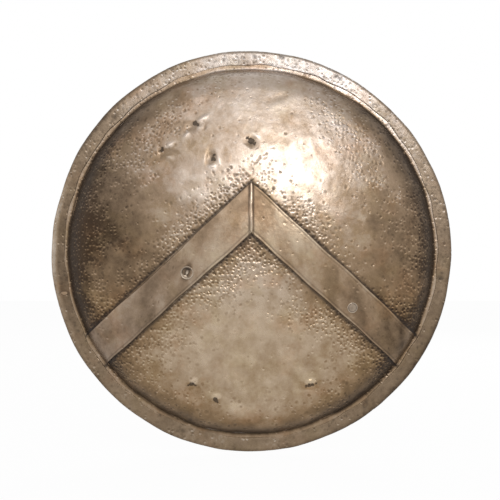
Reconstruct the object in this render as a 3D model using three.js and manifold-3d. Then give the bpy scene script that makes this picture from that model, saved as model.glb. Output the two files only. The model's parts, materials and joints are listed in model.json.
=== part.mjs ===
// A hoplite's aspis: a round, bowl-shaped shield with a flat rim, carried on the left forearm.
//
// Its core is a shallow bowl of edge-glued poplar boards. A thin bronze facing covers the front, a leather
// lining covers the inside, and a bronze binding is folded round the rim. Two bronze bands
// make the V on the front. Inside, the forearm goes through the armband in the middle, and the hand
// closes on a handle that swings between two brackets near the rim. Free rings round the bowl take the
// carrying cord.
//
// Lengths are millimetres and angles are degrees. The bowl's axis is Y, the front faces -Y, +Z is up, and
// the origin lies on the axis in the plane of the rim's back face. "Depth" is a distance from that plane
// towards the front, so a depth d is at y = -d. An "offset" is a distance from the facing's front surface
// along its normal, and it is negative on the holder's side.

import * as THREE from "three";
import { mergeVertices } from "three/addons/utils/BufferGeometryUtils.js";
import Module from "manifold-3d";

const wasm = await Module();
wasm.setup();

// Clearances that the whole shield shares.
const layerGap = 0.3; // between layers that are glued or clenched together
const holeClearance = 0.3; // round a shank in its hole
const swingClearance = 0.45; // round a wire that turns in its eye
const overrun = 30; // how far a cut runs past what it cuts

// The bowl and the rim.
const shieldRadius = 440;
const rimWidth = 41;
const domeHeight = 105; // from the rim's flange to the middle of the dome
const domeRadius = 1300;
const shoulderRadius = 75;
const wallLean = 15; // between the steep wall and the axis
const sheetThickness = 0.7; // the facing and the binding are the same bronze sheet
const coreThickness = 7;
const rimCoreThickness = 10;
const liningThickness = 1.5;
const liningHem = 6; // from the rim's back face to the lining's edge
const bindingFrontWidth = 31;
const bindingBackWidth = 36;
const boardCount = 5;

// The V of two bands.
const bandTop = 146; // from the axis up to the V's outer tip
const bandDrop = 108; // height of the joint between the two bands
const bandThickness = 2.5;
const bandOuterSlope = 42.6;
const bandInnerSlope = 41.9;
const seamWidth = 9;
const seamHeight = 2;
const seamSetback = 2.5; // from the seam's ends to the bands' edges

// The rivets through the bands, whose places are measured from the axis.
const leftRivetX = 134;
const leftRivetZ = -44.5;
const rightRivetX = 213;
const rightRivetZ = -118;
const bandRivetHeadRadius = 11;
const bandRivetShankRadius = 3;
const bandRivetTail = 2.2; // height of the clenched tail inside
const dishDepth = 2;
const dishLip = 2;

// The armband, a flared arch of bronze on two riveted feet.
const armbandWidth = 96;
const armbandBore = 58; // radius inside the arch at its waist
const armbandThickness = 2.5;
const armbandLegs = 10; // from the lining up to the middle of the arch
const armbandFlare = 5; // how much wider the arch is at its edges than at its waist
const armbandFootSides = 10; // straight part of each foot's sides, before its round end
const armbandFootThickness = 2;
const sleeveThickness = 3;
const sleeveMargin = 5; // how far the leather shows past the armband's edges
const footRoundShare = 0.55; // how round a foot's end is, of half its width
const footNailShares = [
  [-0.68, 0.3],
  [0.68, 0.3],
  [-0.4, 0.72],
  [0.4, 0.72],
]; // of half a foot's width, and of its length

// Nails with round heads, which end in the core.
const nailHeadRadius = 5;
const nailHeadHeight = 2.6;
const nailShankRadius = 1.6;
const nailReach = 5; // into the core

// The swinging handle.
const gripInset = 81; // from the bowl's mouth to the handle's pivot line
const gripSpan = 140; // between the middles of the two brackets
const gripReach = 43; // from the pivot line to the hand
const gripRodRadius = 3.6;
const gripArmGap = 4; // between an arm and its bracket
const gripBend = 14; // radius of the bends at the hand
const gripPinBend = 5; // radius of the bends at the pins
const gripKnobRadius = 5.6;
const gripKnobLength = 3.5;
const gripKnobGap = 1.5; // between a knob and its bracket
const gripStandoff = 12; // from the lining to the pivot line
const wrapThickness = 3;
const wrapSwell = 1.6; // how much fatter the wrap is in its middle
const wrapLength = 84;
const bracketLug = 6; // thickness of the lug
const bracketWall = 3.2; // metal round the eye
const bracketPlate = 2.2;
const bracketPlateHalfLength = 22;
const bracketPlateHalfWidth = 13;
const bracketNailPlace = 15; // from the lug's middle

// The rings for the carrying cord.
const ringInset = 137; // from the bowl's mouth to the middle of a staple
const ringRadius = 16;
const ringWireRadius = 2;
const stapleWireRadius = 1.8;
const stapleShankRadius = 2.4;
const stapleReach = 5; // into the core
const ringStandoff = 10.5; // from the lining to the ring's upper wire
const rosetteRadius = 19;
const rosettePetals = 8;
const petalShare = 0.16; // how deep the notches between the petals are
const rosetteThickness = 1.8;

// How finely round things are divided.
const bowlSides = 44;
const domeRings = 4;
const shoulderRings = 3;
const noseSteps = 4;
const archSteps = 10;
const archSpans = 4;
const smallSides = 10;
const headSides = 12;
const wireSides = 6;
const rodSides = 8;
const ringSides = 16;
const eyeSides = 10;
const bendSteps = 3;
const petalSteps = 3;

// Sizes that follow from the ones above.
const radians = THREE.MathUtils.degToRad;
const mouthRadius = shieldRadius - rimWidth;
const coreBack = sheetThickness + layerGap;
const flangeBack = coreBack + rimCoreThickness + layerGap;
const flangeFront = flangeBack + sheetThickness;
const bindingFront = flangeFront + layerGap + sheetThickness;
const noseCentre = shieldRadius - bindingFront / 2;
const coreOuter = -sheetThickness - layerGap;
const coreInner = coreOuter - coreThickness;
const liningOuter = coreInner - layerGap;
const liningInner = liningOuter - liningThickness;
const fittingSeat = liningInner - layerGap;
const bandUnder = layerGap;
const bandFace = bandUnder + bandThickness;

const lean = radians(wallLean);
const wallDistance = mouthRadius * Math.cos(lean) + flangeFront * Math.sin(lean);
const domeCentre = flangeFront + domeHeight - domeRadius;
const shoulderReach = domeRadius - shoulderRadius;
const domeHalfAngle =
  Math.asin((wallDistance - shoulderRadius - domeCentre * Math.sin(lean)) / shoulderReach) - lean;
const shoulderCentre = new THREE.Vector2(
  shoulderReach * Math.sin(domeHalfAngle),
  domeCentre + shoulderReach * Math.cos(domeHalfAngle),
);

// The bowl's section at an offset, from the axis to the wall's end at a given depth, as radius and depth.
function bowlSection(offset, endDepth) {
  const points = [];
  for (let i = 0; i <= domeRings; i++) {
    const angle = (domeHalfAngle * i) / domeRings;
    const reach = domeRadius + offset;
    points.push(new THREE.Vector2(reach * Math.sin(angle), domeCentre + reach * Math.cos(angle)));
  }
  for (let i = 1; i <= shoulderRings; i++) {
    const angle = THREE.MathUtils.lerp(domeHalfAngle, Math.PI / 2 - lean, i / shoulderRings);
    const reach = shoulderRadius + offset;
    points.push(
      new THREE.Vector2(
        shoulderCentre.x + reach * Math.sin(angle),
        shoulderCentre.y + reach * Math.cos(angle),
      ),
    );
  }
  const endRadius = (wallDistance + offset - endDepth * Math.sin(lean)) / Math.cos(lean);
  points.push(new THREE.Vector2(endRadius, endDepth));
  return points;
}

// Where a line along the axis meets the bowl's flat facets at an offset: the depth there and the normal.
function onBowl(x, z, offset) {
  const step = (2 * Math.PI) / bowlSides;
  const middle = (Math.floor(Math.atan2(x, z) / step) + 1 / 2) * step;
  const radius = (x * Math.sin(middle) + z * Math.cos(middle)) / Math.cos(step / 2);
  const section = bowlSection(offset, 0);
  const i = section.findIndex((point) => point.x > radius);
  const [inner, outer] = [section[i - 1], section[i]];
  const depth = THREE.MathUtils.mapLinear(radius, inner.x, outer.x, inner.y, outer.y);
  const rise = (inner.y - outer.y) / ((outer.x - inner.x) * Math.cos(step / 2));
  const normal = new THREE.Vector3(rise * Math.sin(middle), -1, rise * Math.cos(middle)).normalize();
  return { place: new THREE.Vector3(x, -depth, z), normal };
}

// Solids and their joins and cuts.
function solid(geometry) {
  const bare = geometry.clone();
  for (const name of ["normal", "uv"]) bare.deleteAttribute(name);
  const merged = mergeVertices(bare);
  const made = new wasm.Manifold(
    new wasm.Mesh({
      numProp: 3,
      vertProperties: merged.attributes.position.array,
      triVerts: new Uint32Array(merged.index.array),
    }),
  );
  if (made.volume() < 0) throw new Error("a profile runs the wrong way round");
  return made;
}

function geometryOf(made) {
  const { vertProperties, triVerts } = made.getMesh();
  const geometry = new THREE.BufferGeometry();
  geometry.setAttribute("position", new THREE.BufferAttribute(vertProperties, 3));
  geometry.setIndex(new THREE.BufferAttribute(triVerts, 1));
  const flat = geometry.toNonIndexed();
  flat.computeVertexNormals();
  return flat;
}

// A closed section of radius and depth, turned about the axis.
function revolve(section, sides = bowlSides) {
  const points = section.map((point) => new THREE.Vector2(point.x, -point.y));
  const closed = points[0].x === 0 ? points : [...points, points[0]];
  return solid(new THREE.LatheGeometry(closed, sides));
}

// The layer of the bowl between two offsets, which ends at a depth.
function bowlLayer(outer, inner, endDepth) {
  return revolve([...bowlSection(outer, endDepth), ...bowlSection(inner, endDepth).reverse()]);
}

// Everything on the holder's side of the bowl's surface at an offset.
function bowlInside(offset) {
  const section = bowlSection(offset, 0);
  const foot = section[section.length - 1];
  const back = -overrun;
  return revolve([...section, new THREE.Vector2(foot.x, back), new THREE.Vector2(0, back)]);
}

// An outline in x and z, run along the axis between two depths.
function prism(shape, back, front, curveSegments = smallSides) {
  const geometry = new THREE.ExtrudeGeometry(shape, {
    depth: front - back,
    bevelEnabled: false,
    curveSegments,
  });
  geometry.translate(0, 0, back);
  geometry.rotateX(Math.PI / 2);
  return solid(geometry);
}

// A section of radius and height, from bottom to top, turned about the Y axis.
function turned(section, sides = smallSides) {
  const points = section.map(([radius, height]) => new THREE.Vector2(radius, height));
  return solid(new THREE.LatheGeometry(points, sides));
}

// A round tool along a line, for a hole.
const upright = new THREE.Vector3(0, 1, 0);

function drillBit(radius, bottom, top, place, direction, sides = smallSides) {
  const geometry = new THREE.CylinderGeometry(radius, radius, top - bottom, sides);
  geometry.translate(0, (top + bottom) / 2, 0);
  geometry.applyQuaternion(new THREE.Quaternion().setFromUnitVectors(upright, direction));
  geometry.translate(place.x, place.y, place.z);
  return solid(geometry);
}

// A skin over closed sections that all have the same number of points, with the given end triangles.
function skin(sections, endFaces) {
  const count = sections[0].length;
  const positions = sections.flat().flatMap((point) => [point.x, point.y, point.z]);
  const faces = [];
  for (let i = 0; i + 1 < sections.length; i++) {
    for (let j = 0; j < count; j++) {
      const a = i * count + j;
      const b = i * count + ((j + 1) % count);
      faces.push(a, a + count, b, b, a + count, b + count);
    }
  }
  const last = (sections.length - 1) * count;
  for (const [a, b, c] of endFaces) {
    faces.push(a, b, c);
    faces.push(last + c, last + b, last + a);
  }
  const geometry = new THREE.BufferGeometry();
  geometry.setAttribute("position", new THREE.Float32BufferAttribute(positions, 3));
  geometry.setIndex(faces);
  return solid(geometry);
}

// A round bar along points that lie in the plane x = 0, mitred at each of them.
function bar(points, radius, sides) {
  const across = new THREE.Vector3(1, 0, 0);
  const sections = points.map((point, i) => {
    const before = points[Math.max(i - 1, 0)];
    const after = points[Math.min(i + 1, points.length - 1)];
    const into = (i > 0 ? point.clone().sub(before) : after.clone().sub(point)).normalize();
    const out = (i + 1 < points.length ? after.clone().sub(point) : into.clone()).normalize();
    const along = into.clone().add(out).normalize();
    const aside = new THREE.Vector3().crossVectors(across, along);
    const ring = [];
    for (let j = 0; j < sides; j++) {
      const angle = (2 * Math.PI * j) / sides;
      ring.push(
        point
          .clone()
          .addScaledVector(across, radius * Math.cos(angle))
          .addScaledVector(aside, (radius * Math.sin(angle)) / along.dot(into)),
      );
    }
    return ring;
  });
  const fan = [];
  for (let j = 1; j + 1 < sides; j++) fan.push([0, j, j + 1]);
  return skin(sections, fan);
}

function shapeOf(points) {
  return new THREE.Shape(points.map(([x, z]) => new THREE.Vector2(x, z)));
}

const shield = new THREE.Group();

const finishes = {
  bronze: new THREE.MeshStandardMaterial({ color: 0x8d7a62, roughness: 0.42, metalness: 0.9 }),
  darkBronze: new THREE.MeshStandardMaterial({ color: 0x6e5c46, roughness: 0.5, metalness: 0.85 }),
  wood: new THREE.MeshStandardMaterial({ color: 0xa9804f, roughness: 0.75, metalness: 0 }),
  leather: new THREE.MeshStandardMaterial({ color: 0x5a3a24, roughness: 0.7, metalness: 0 }),
};

function add(name, made, finish, parent = shield) {
  const mesh = new THREE.Mesh(geometryOf(made), finishes[finish]);
  mesh.name = name;
  parent.add(mesh);
  return mesh;
}

// A turned piece, put at a place with its own Y axis along a direction.
function addTurned(name, made, finish, place, direction) {
  const mesh = add(name, made, finish);
  mesh.position.copy(place);
  mesh.quaternion.setFromUnitVectors(upright, direction);
}

// The layers of the shield. They are drilled further down, once each fastener is made.
const layers = {
  facing: makeFacing(),
  core: makeCore(),
  lining: bowlLayer(liningOuter, liningInner, liningHem),
  binding: makeBinding(),
};

function makeFacing() {
  const outside = bowlSection(0, flangeFront);
  const inside = bowlSection(-sheetThickness, flangeBack);
  const flange = [
    new THREE.Vector2(noseCentre, flangeFront),
    new THREE.Vector2(noseCentre, flangeBack),
  ];
  return revolve([...outside, ...flange, ...inside.reverse()]);
}

// Half a circle of points round the rim's edge, from the front to the back.
function nose(depth, radius) {
  const points = [];
  for (let i = 0; i <= noseSteps; i++) {
    const angle = (Math.PI * i) / noseSteps;
    points.push(
      new THREE.Vector2(noseCentre + radius * Math.sin(angle), depth + radius * Math.cos(angle)),
    );
  }
  return points;
}

function makeCore() {
  const outside = bowlSection(coreOuter, coreBack + rimCoreThickness);
  const inside = bowlSection(coreInner, coreBack);
  const edge = nose(coreBack + rimCoreThickness / 2, rimCoreThickness / 2);
  return revolve([...outside, ...edge, ...inside.reverse()]);
}

function makeBinding() {
  const frontEdge = shieldRadius - bindingFrontWidth;
  const backEdge = shieldRadius - bindingBackWidth;
  const middle = bindingFront / 2;
  return revolve([
    new THREE.Vector2(frontEdge, bindingFront),
    ...nose(middle, middle),
    new THREE.Vector2(backEdge, 0),
    new THREE.Vector2(backEdge, sheetThickness),
    ...nose(middle, middle - sheetThickness).reverse(),
    new THREE.Vector2(frontEdge, bindingFront - sheetThickness),
  ]);
}

// The V. Each band is cut from a layer that lies on the facing, so it follows dome, shoulder and wall.
const bandLayer = bowlLayer(bandFace, bandUnder, flangeFront + layerGap);
const pastRim = shieldRadius;
const outerFall = pastRim * Math.tan(radians(bandOuterSlope));
const innerFall = pastRim * Math.tan(radians(bandInnerSlope));
const deepest = flangeFront + domeHeight + overrun;

function makeBand(side) {
  const joint = (side * layerGap) / 2;
  const outline = [
    [joint, bandTop - Math.abs(joint) * Math.tan(radians(bandOuterSlope))],
    [joint, bandTop - bandDrop - Math.abs(joint) * Math.tan(radians(bandInnerSlope))],
    [side * pastRim, bandTop - bandDrop - innerFall],
    [side * pastRim, bandTop - outerFall],
  ];
  return bandLayer.intersect(prism(shapeOf(outline), 0, deepest));
}

const bands = { left: makeBand(-1), right: makeBand(1) };

// The raised seam over the mitre, pointed at both ends.
const seamTop = bandTop - seamSetback;
const seamBottom = bandTop - bandDrop + seamSetback;
const seamOutline = [
  [0, seamTop],
  [-seamWidth / 2, seamTop - seamWidth],
  [-seamWidth / 2, seamBottom + seamWidth / 2],
  [0, seamBottom],
  [seamWidth / 2, seamBottom + seamWidth / 2],
  [seamWidth / 2, seamTop - seamWidth],
];
const seamLayer = bowlLayer(bandFace + layerGap + seamHeight, bandFace + layerGap, flangeFront);
add("mitre_seam", seamLayer.intersect(prism(shapeOf(seamOutline), 0, deepest)), "bronze");

// Rivets through a band, the facing, the core and the lining, with a clenched tail inside.
const tailSeat = liningInner - layerGap;

function drill(names, tool) {
  for (const name of names) layers[name] = layers[name].subtract(tool);
}

function addBandRivet(key, x, z, dished) {
  const { place, normal } = onBowl(x, z, 0);
  const head = bandRivetHeadRadius;
  const shank = bandRivetShankRadius;
  const top = dished ? bandFace + dishLip : bandFace + layerGap;
  const hollow = dished ? [[head - dishLip, top], [head - dishLip * 2, bandFace - dishDepth]] : [];
  const middle = dished ? bandFace - dishDepth : top;
  const section = [
    [0, tailSeat - bandRivetTail],
    [shank, tailSeat - bandRivetTail],
    [shank * 2, tailSeat],
    [shank, tailSeat],
    [shank, bandUnder],
    [head, bandUnder],
    [head, top],
    ...hollow,
    [0, middle],
  ];
  const hole = drillBit(shank + holeClearance, -overrun, overrun, place, normal);
  drill(["facing", "core", "lining"], hole);
  const recess = drillBit(head + holeClearance, -overrun, overrun, place, normal, headSides);
  bands[key] = bands[key].subtract(recess);
  addTurned("band_rivet_" + key, turned(section, headSides), "darkBronze", place, normal);
}

addBandRivet("left", -leftRivetX, leftRivetZ, true);
addBandRivet("right", rightRivetX, rightRivetZ, false);
add("chevron_band_left", bands.left, "bronze");
add("chevron_band_right", bands.right, "bronze");

// How high a fitting's face stands under a nail's head, above the nail's own place.
function riseUnderHead(place, inwards, offset) {
  let rise = 0;
  for (let i = 0; i < 2 * wireSides; i++) {
    const angle = (Math.PI * i) / wireSides;
    const x = place.x + nailHeadRadius * Math.cos(angle);
    const z = place.z + nailHeadRadius * Math.sin(angle);
    const beside = onBowl(x, z, offset).place.sub(place);
    rise = Math.max(rise, beside.dot(inwards));
  }
  return rise;
}

// A nail whose head bears on a fitting and whose tip ends in the core. It gives back the drilled fitting.
function driveNail(name, x, z, fitting, fittingThickness) {
  const face = fittingSeat - fittingThickness;
  const { place, normal } = onBowl(x, z, face);
  const inwards = normal.negate();
  const seat = layerGap + riseUnderHead(place, inwards, face);
  const tip = -(fittingThickness + layerGap + liningThickness + layerGap + nailReach);
  const section = [
    [0, tip],
    [nailShankRadius, tip + nailShankRadius],
    [nailShankRadius, seat],
    [nailHeadRadius, seat],
    [nailHeadRadius * Math.SQRT1_2, seat + nailHeadHeight * Math.SQRT1_2],
    [0, seat + nailHeadHeight],
  ];
  const hole = nailShankRadius + holeClearance;
  const tool = drillBit(hole, tip - holeClearance, overrun, place, inwards, wireSides);
  drill(["core", "lining"], tool);
  addTurned(name, turned(section, wireSides), "bronze", place, inwards);
  return fitting.subtract(tool);
}

// The armband. Its arch is a skin over sections that are widest at its two edges, and its feet are cut from
// a layer that lies on the lining.
const archY = onBowl(0, armbandBore, fittingSeat).place.y + armbandLegs;

function halfRound(x, radius) {
  const points = [];
  for (let i = 0; i <= archSteps; i++) {
    const angle = (Math.PI * i) / archSteps;
    points.push(new THREE.Vector3(x, archY + radius * Math.sin(angle), radius * Math.cos(angle)));
  }
  return points;
}

function archSection(x, bore, thickness) {
  const share = (2 * x) / armbandWidth;
  const inner = bore + armbandFlare * share * share;
  const outer = inner + thickness;
  const bottom = archY - armbandLegs - overrun;
  return [
    new THREE.Vector3(x, bottom, outer),
    ...halfRound(x, outer),
    new THREE.Vector3(x, bottom, -outer),
    new THREE.Vector3(x, bottom, -inner),
    ...halfRound(x, inner).reverse(),
    new THREE.Vector3(x, bottom, inner),
  ];
}

function makeArch(places, bore, thickness) {
  const sections = places.map((x) => archSection(x, bore, thickness));
  const outline = sections[0].map((point) => new THREE.Vector2(point.z, point.y));
  const arch = skin(sections, THREE.ShapeUtils.triangulateShape(outline, []));
  return arch.intersect(bowlInside(fittingSeat));
}

const archPlaces = [];
for (let i = 0; i <= archSpans; i++) archPlaces.push((i / archSpans - 1 / 2) * armbandWidth);
const armbandEdge = armbandWidth / 2;
const sleevePlaces = [-armbandEdge - sleeveMargin, ...archPlaces, armbandEdge + sleeveMargin];
const footStart = armbandBore + armbandThickness / 2;
const footLength = armbandFootSides + armbandEdge;
const footEnd = footStart + footLength;

// One foot, with a rounded end and an edge that follows the arch's flare.
function makeFoot(side) {
  const round = armbandEdge * footRoundShare;
  const shape = new THREE.Shape();
  shape.moveTo(-armbandEdge, side * (footStart + armbandFlare));
  shape.lineTo(-armbandEdge, side * (footEnd - armbandEdge));
  shape.bezierCurveTo(
    -armbandEdge, side * (footEnd - armbandEdge + round),
    -round, side * footEnd,
    0, side * footEnd,
  );
  shape.bezierCurveTo(
    round, side * footEnd,
    armbandEdge, side * (footEnd - armbandEdge + round),
    armbandEdge, side * (footEnd - armbandEdge),
  );
  shape.lineTo(armbandEdge, side * (footStart + armbandFlare));
  shape.quadraticCurveTo(
    0, side * (footStart - armbandFlare),
    -armbandEdge, side * (footStart + armbandFlare),
  );
  const layer = bowlLayer(fittingSeat, fittingSeat - armbandFootThickness, 0);
  return layer.intersect(prism(shape, 0, deepest, archSpans));
}

let armband = makeArch(archPlaces, armbandBore, armbandThickness).add(makeFoot(1)).add(makeFoot(-1));
let nailNumber = 0;
for (const side of [1, -1]) {
  for (const [across, along] of footNailShares) {
    nailNumber += 1;
    const z = side * (footStart + along * footLength);
    const name = "armband_nail_" + nailNumber;
    armband = driveNail(name, across * armbandEdge, z, armband, armbandFootThickness);
  }
}
add("armband", armband, "darkBronze");
const sleeveBore = armbandBore - layerGap - sleeveThickness;
add("armband_sleeve", makeArch(sleevePlaces, sleeveBore, sleeveThickness), "leather");

// The handle and its two brackets, with the pivot line parallel to Z.
const gripX = -(mouthRadius - gripInset);
const gripY = onBowl(gripX, gripSpan / 2, liningInner).place.y + gripStandoff;
const armZ = gripSpan / 2 - bracketLug / 2 - gripArmGap - gripRodRadius;
const pinEnd = gripSpan / 2 + bracketLug / 2 + gripKnobGap;
const handle = new THREE.Group();
handle.position.set(gripX, gripY, 0);
shield.add(handle);

// The corner of a bent bar, as points on a curve from one side of it to the other.
function bend(start, corner, end) {
  return new THREE.QuadraticBezierCurve3(start, corner, end).getPoints(bendSteps);
}

function makeGrip() {
  const at = (y, z) => new THREE.Vector3(0, y, z);
  const half = [
    at(0, pinEnd),
    ...bend(at(0, armZ + gripPinBend), at(0, armZ), at(gripPinBend, armZ)),
    ...bend(at(gripReach - gripBend, armZ), at(gripReach, armZ), at(gripReach, armZ - gripBend)),
  ];
  const mirrored = half.map((point) => at(point.y, -point.z)).reverse();
  const knob = turned([
    [0, 0],
    [gripKnobRadius, 0],
    [gripKnobRadius, gripKnobLength / 2],
    [gripRodRadius, gripKnobLength],
    [0, gripKnobLength],
  ]);
  const ends = [1, -1].map((side) =>
    knob.rotate([side * 90, 0, 0]).translate([0, 0, side * (pinEnd - holeClearance)]),
  );
  return bar([...half, ...mirrored], gripRodRadius, rodSides).add(ends[0]).add(ends[1]);
}

add("hand_grip", makeGrip(), "darkBronze", handle);

const wrapBore = gripRodRadius + layerGap;
const wrapOuter = wrapBore + wrapThickness;
const wrap = turned([
  [wrapBore, -wrapLength / 2],
  [wrapOuter, -wrapLength / 2],
  [wrapOuter + wrapSwell, 0],
  [wrapOuter, wrapLength / 2],
  [wrapBore, wrapLength / 2],
  [wrapBore, -wrapLength / 2],
]);
const wrapMesh = add("grip_wrap", wrap, "leather", handle);
wrapMesh.position.set(0, gripReach, 0);
wrapMesh.rotation.x = Math.PI / 2;

function ellipse(x, z, halfLength, halfWidth) {
  return new THREE.Shape().absellipse(x, z, halfLength, halfWidth, 0, 2 * Math.PI);
}

function makeBracket(side) {
  const outside = gripRodRadius + swingClearance + bracketWall;
  const lugShape = new THREE.Shape();
  lugShape.moveTo(-outside, -gripStandoff - overrun);
  lugShape.lineTo(outside, -gripStandoff - overrun);
  lugShape.lineTo(outside, 0);
  lugShape.absarc(0, 0, outside, 0, Math.PI);
  lugShape.closePath();
  lugShape.holes.push(
    new THREE.Path().absarc(0, 0, gripRodRadius + swingClearance, 0, 2 * Math.PI, true),
  );
  const lug = new THREE.ExtrudeGeometry(lugShape, {
    depth: bracketLug,
    bevelEnabled: false,
    curveSegments: eyeSides / 2,
  });
  lug.translate(gripX, gripY, (side * gripSpan) / 2 - bracketLug / 2);
  const z = (side * gripSpan) / 2;
  const outline = ellipse(gripX, z, bracketPlateHalfLength, bracketPlateHalfWidth);
  const layer = bowlLayer(fittingSeat, fittingSeat - bracketPlate, 0);
  const plate = layer.intersect(prism(outline, 0, deepest));
  return plate.add(solid(lug).intersect(bowlInside(fittingSeat)));
}

let gripNail = 0;
for (const [key, side] of [["upper", 1], ["lower", -1]]) {
  let bracket = makeBracket(side);
  for (const turn of [-1, 1]) {
    gripNail += 1;
    const x = gripX + turn * bracketNailPlace;
    bracket = driveNail("grip_nail_" + gripNail, x, (side * gripSpan) / 2, bracket, bracketPlate);
  }
  add("grip_bracket_" + key, bracket, "darkBronze");
}

// The four cord rings. Each hangs in the eye of a staple that is driven through a rosette.
function rosetteShape(x, z) {
  const points = [];
  for (let i = 0; i < rosettePetals * petalSteps; i++) {
    const angle = (2 * Math.PI * i) / (rosettePetals * petalSteps);
    const notch = 1 - Math.abs(Math.cos((rosettePetals * angle) / 2));
    const radius = rosetteRadius * (1 - petalShare * notch);
    points.push([x + radius * Math.cos(angle), z + radius * Math.sin(angle)]);
  }
  return shapeOf(points);
}

const ringPlace = mouthRadius - ringInset;

function addCordRing(key, angle) {
  const x = ringPlace * Math.cos(angle);
  const z = ringPlace * Math.sin(angle);
  const lining = onBowl(x, z, liningInner).place.y;
  const fitting = new THREE.Group();
  fitting.position.set(x, lining + ringStandoff, z);
  shield.add(fitting);

  const eyeRadius = ringWireRadius + swingClearance + stapleWireRadius;
  const eye = new THREE.TorusGeometry(eyeRadius, stapleWireRadius, wireSides, eyeSides);
  eye.rotateY(Math.PI / 2);
  const tip = -(ringStandoff + liningThickness + layerGap + stapleReach);
  const shank = turned(
    [
      [0, tip],
      [stapleShankRadius, tip + stapleShankRadius],
      [stapleShankRadius, -eyeRadius],
      [0, -eyeRadius],
    ],
    wireSides,
  );
  add("ring_staple_" + key, solid(eye).add(shank), "darkBronze", fitting);

  const ring = new THREE.TorusGeometry(ringRadius, ringWireRadius, wireSides, ringSides);
  ring.rotateX(Math.PI / 2);
  const ringMesh = add("ring_" + key, solid(ring), "bronze", fitting);
  ringMesh.position.set(0, 0, -ringRadius);

  const hole = stapleShankRadius + holeClearance;
  const tool = drillBit(hole, tip - holeClearance, 0, fitting.position, upright, wireSides);
  drill(["core", "lining"], tool);
  const layer = bowlLayer(fittingSeat, fittingSeat - rosetteThickness, 0);
  const rosette = layer.intersect(prism(rosetteShape(x, z), 0, deepest)).subtract(tool);
  add("ring_rosette_" + key, rosette, "bronze");
}

const ringKeys = ["upper_right", "upper_left", "lower_left", "lower_right"];
ringKeys.forEach((key, i) => addCordRing(key, Math.PI / 4 + (i * Math.PI) / 2));

// The drilled layers, the core as its boards, which run across the shield.
add("bronze_facing", layers.facing, "bronze");
add("rim_binding", layers.binding, "bronze");
add("leather_lining", layers.lining, "leather");

const boardHeight = (2 * shieldRadius) / boardCount;
for (let i = 0; i < boardCount; i++) {
  const bottom = -shieldRadius + i * boardHeight + layerGap / 2;
  const top = bottom + boardHeight - layerGap;
  const slab = shapeOf([
    [-shieldRadius, i === 0 ? bottom - overrun : bottom],
    [shieldRadius, i === 0 ? bottom - overrun : bottom],
    [shieldRadius, i === boardCount - 1 ? top + overrun : top],
    [-shieldRadius, i === boardCount - 1 ? top + overrun : top],
  ]);
  add("core_board_" + (i + 1), layers.core.intersect(prism(slab, -overrun, deepest)), "wood");
}

export default shield;
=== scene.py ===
# %% [markdown]
# # A hoplite's shield
#
# This lesson dresses a shield. The CAD model gives the frame: where each piece is, how big it is and what
# it turns on. Blender adds what a lathe-like solid can't show, which is hammer marks, dents, stitches,
# creases and the colours of old bronze, wood and leather. Loading the frame first keeps the dressed shield
# the size of the real one.

# %% Load the frame
import json

import bmesh
import bpy
import numpy as np
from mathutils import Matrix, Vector


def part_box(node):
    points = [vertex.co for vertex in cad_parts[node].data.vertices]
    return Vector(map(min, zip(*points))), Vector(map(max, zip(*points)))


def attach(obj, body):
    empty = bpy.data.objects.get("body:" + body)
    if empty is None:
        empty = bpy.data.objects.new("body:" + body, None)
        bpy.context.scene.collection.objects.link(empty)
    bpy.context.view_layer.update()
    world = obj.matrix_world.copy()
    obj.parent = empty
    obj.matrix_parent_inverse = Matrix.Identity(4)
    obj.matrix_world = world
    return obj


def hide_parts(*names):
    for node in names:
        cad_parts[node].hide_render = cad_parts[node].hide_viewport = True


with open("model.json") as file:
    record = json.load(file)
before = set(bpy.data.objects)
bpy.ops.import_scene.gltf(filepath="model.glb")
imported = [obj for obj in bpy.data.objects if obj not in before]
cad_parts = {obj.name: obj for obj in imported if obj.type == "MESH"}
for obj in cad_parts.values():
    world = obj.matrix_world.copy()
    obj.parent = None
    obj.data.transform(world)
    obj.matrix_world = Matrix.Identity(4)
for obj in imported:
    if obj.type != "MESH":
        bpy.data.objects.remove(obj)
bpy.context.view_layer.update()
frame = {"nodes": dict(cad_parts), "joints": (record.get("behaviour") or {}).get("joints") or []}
MM = 0.001  # the lesson works in millimetres, and each mesh is scaled to metres as it is made
print("nodes:", len(frame["nodes"]))

# %% [markdown]
# ## The camera
#
# The photograph looks straight at the shield along its axis, so the rim is a circle and both bands look
# alike. A long lens from two metres away gives that view. The rim is then as wide as in the photograph
# when the picture is 1100 mm wide at the rim's distance. The shield sits a little right of the middle and
# a little low, and moving the camera sideways does that without turning it.

# %% Set up the camera
CAMERA_DISTANCE = 2.0  # metres, to the fattest part of the rim
PICTURE_WIDTH = 1.1005  # metres, at that distance
RIM_PLANE = -0.0065
CAMERA_LEFT, CAMERA_UP = 0.00255, 0.0031

lens = bpy.data.cameras.new("studio_camera")
lens.sensor_width = 36
lens.lens = lens.sensor_width * CAMERA_DISTANCE / PICTURE_WIDTH
camera = bpy.data.objects.new("studio_camera", lens)
camera.location = (-CAMERA_LEFT, RIM_PLANE - CAMERA_DISTANCE, CAMERA_UP)
camera.rotation_euler = (np.pi / 2, 0, 0)
bpy.context.scene.collection.objects.link(camera)
bpy.context.scene.camera = camera
bpy.context.scene.view_settings.view_transform = "Standard"
print("lens:", round(lens.lens, 1), "mm")

# %% [markdown]
# ## Sums for shaders
#
# A finish is a graph of nodes, which is hard to read when each link is a line of code. Here one small
# class wraps a node's output, and adding or multiplying two of them adds the Math node that does it. A
# grey Math node would lose a colour, so colours have a method of their own. Everything else goes through
# one method that makes any node from its settings and its inputs.

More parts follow.
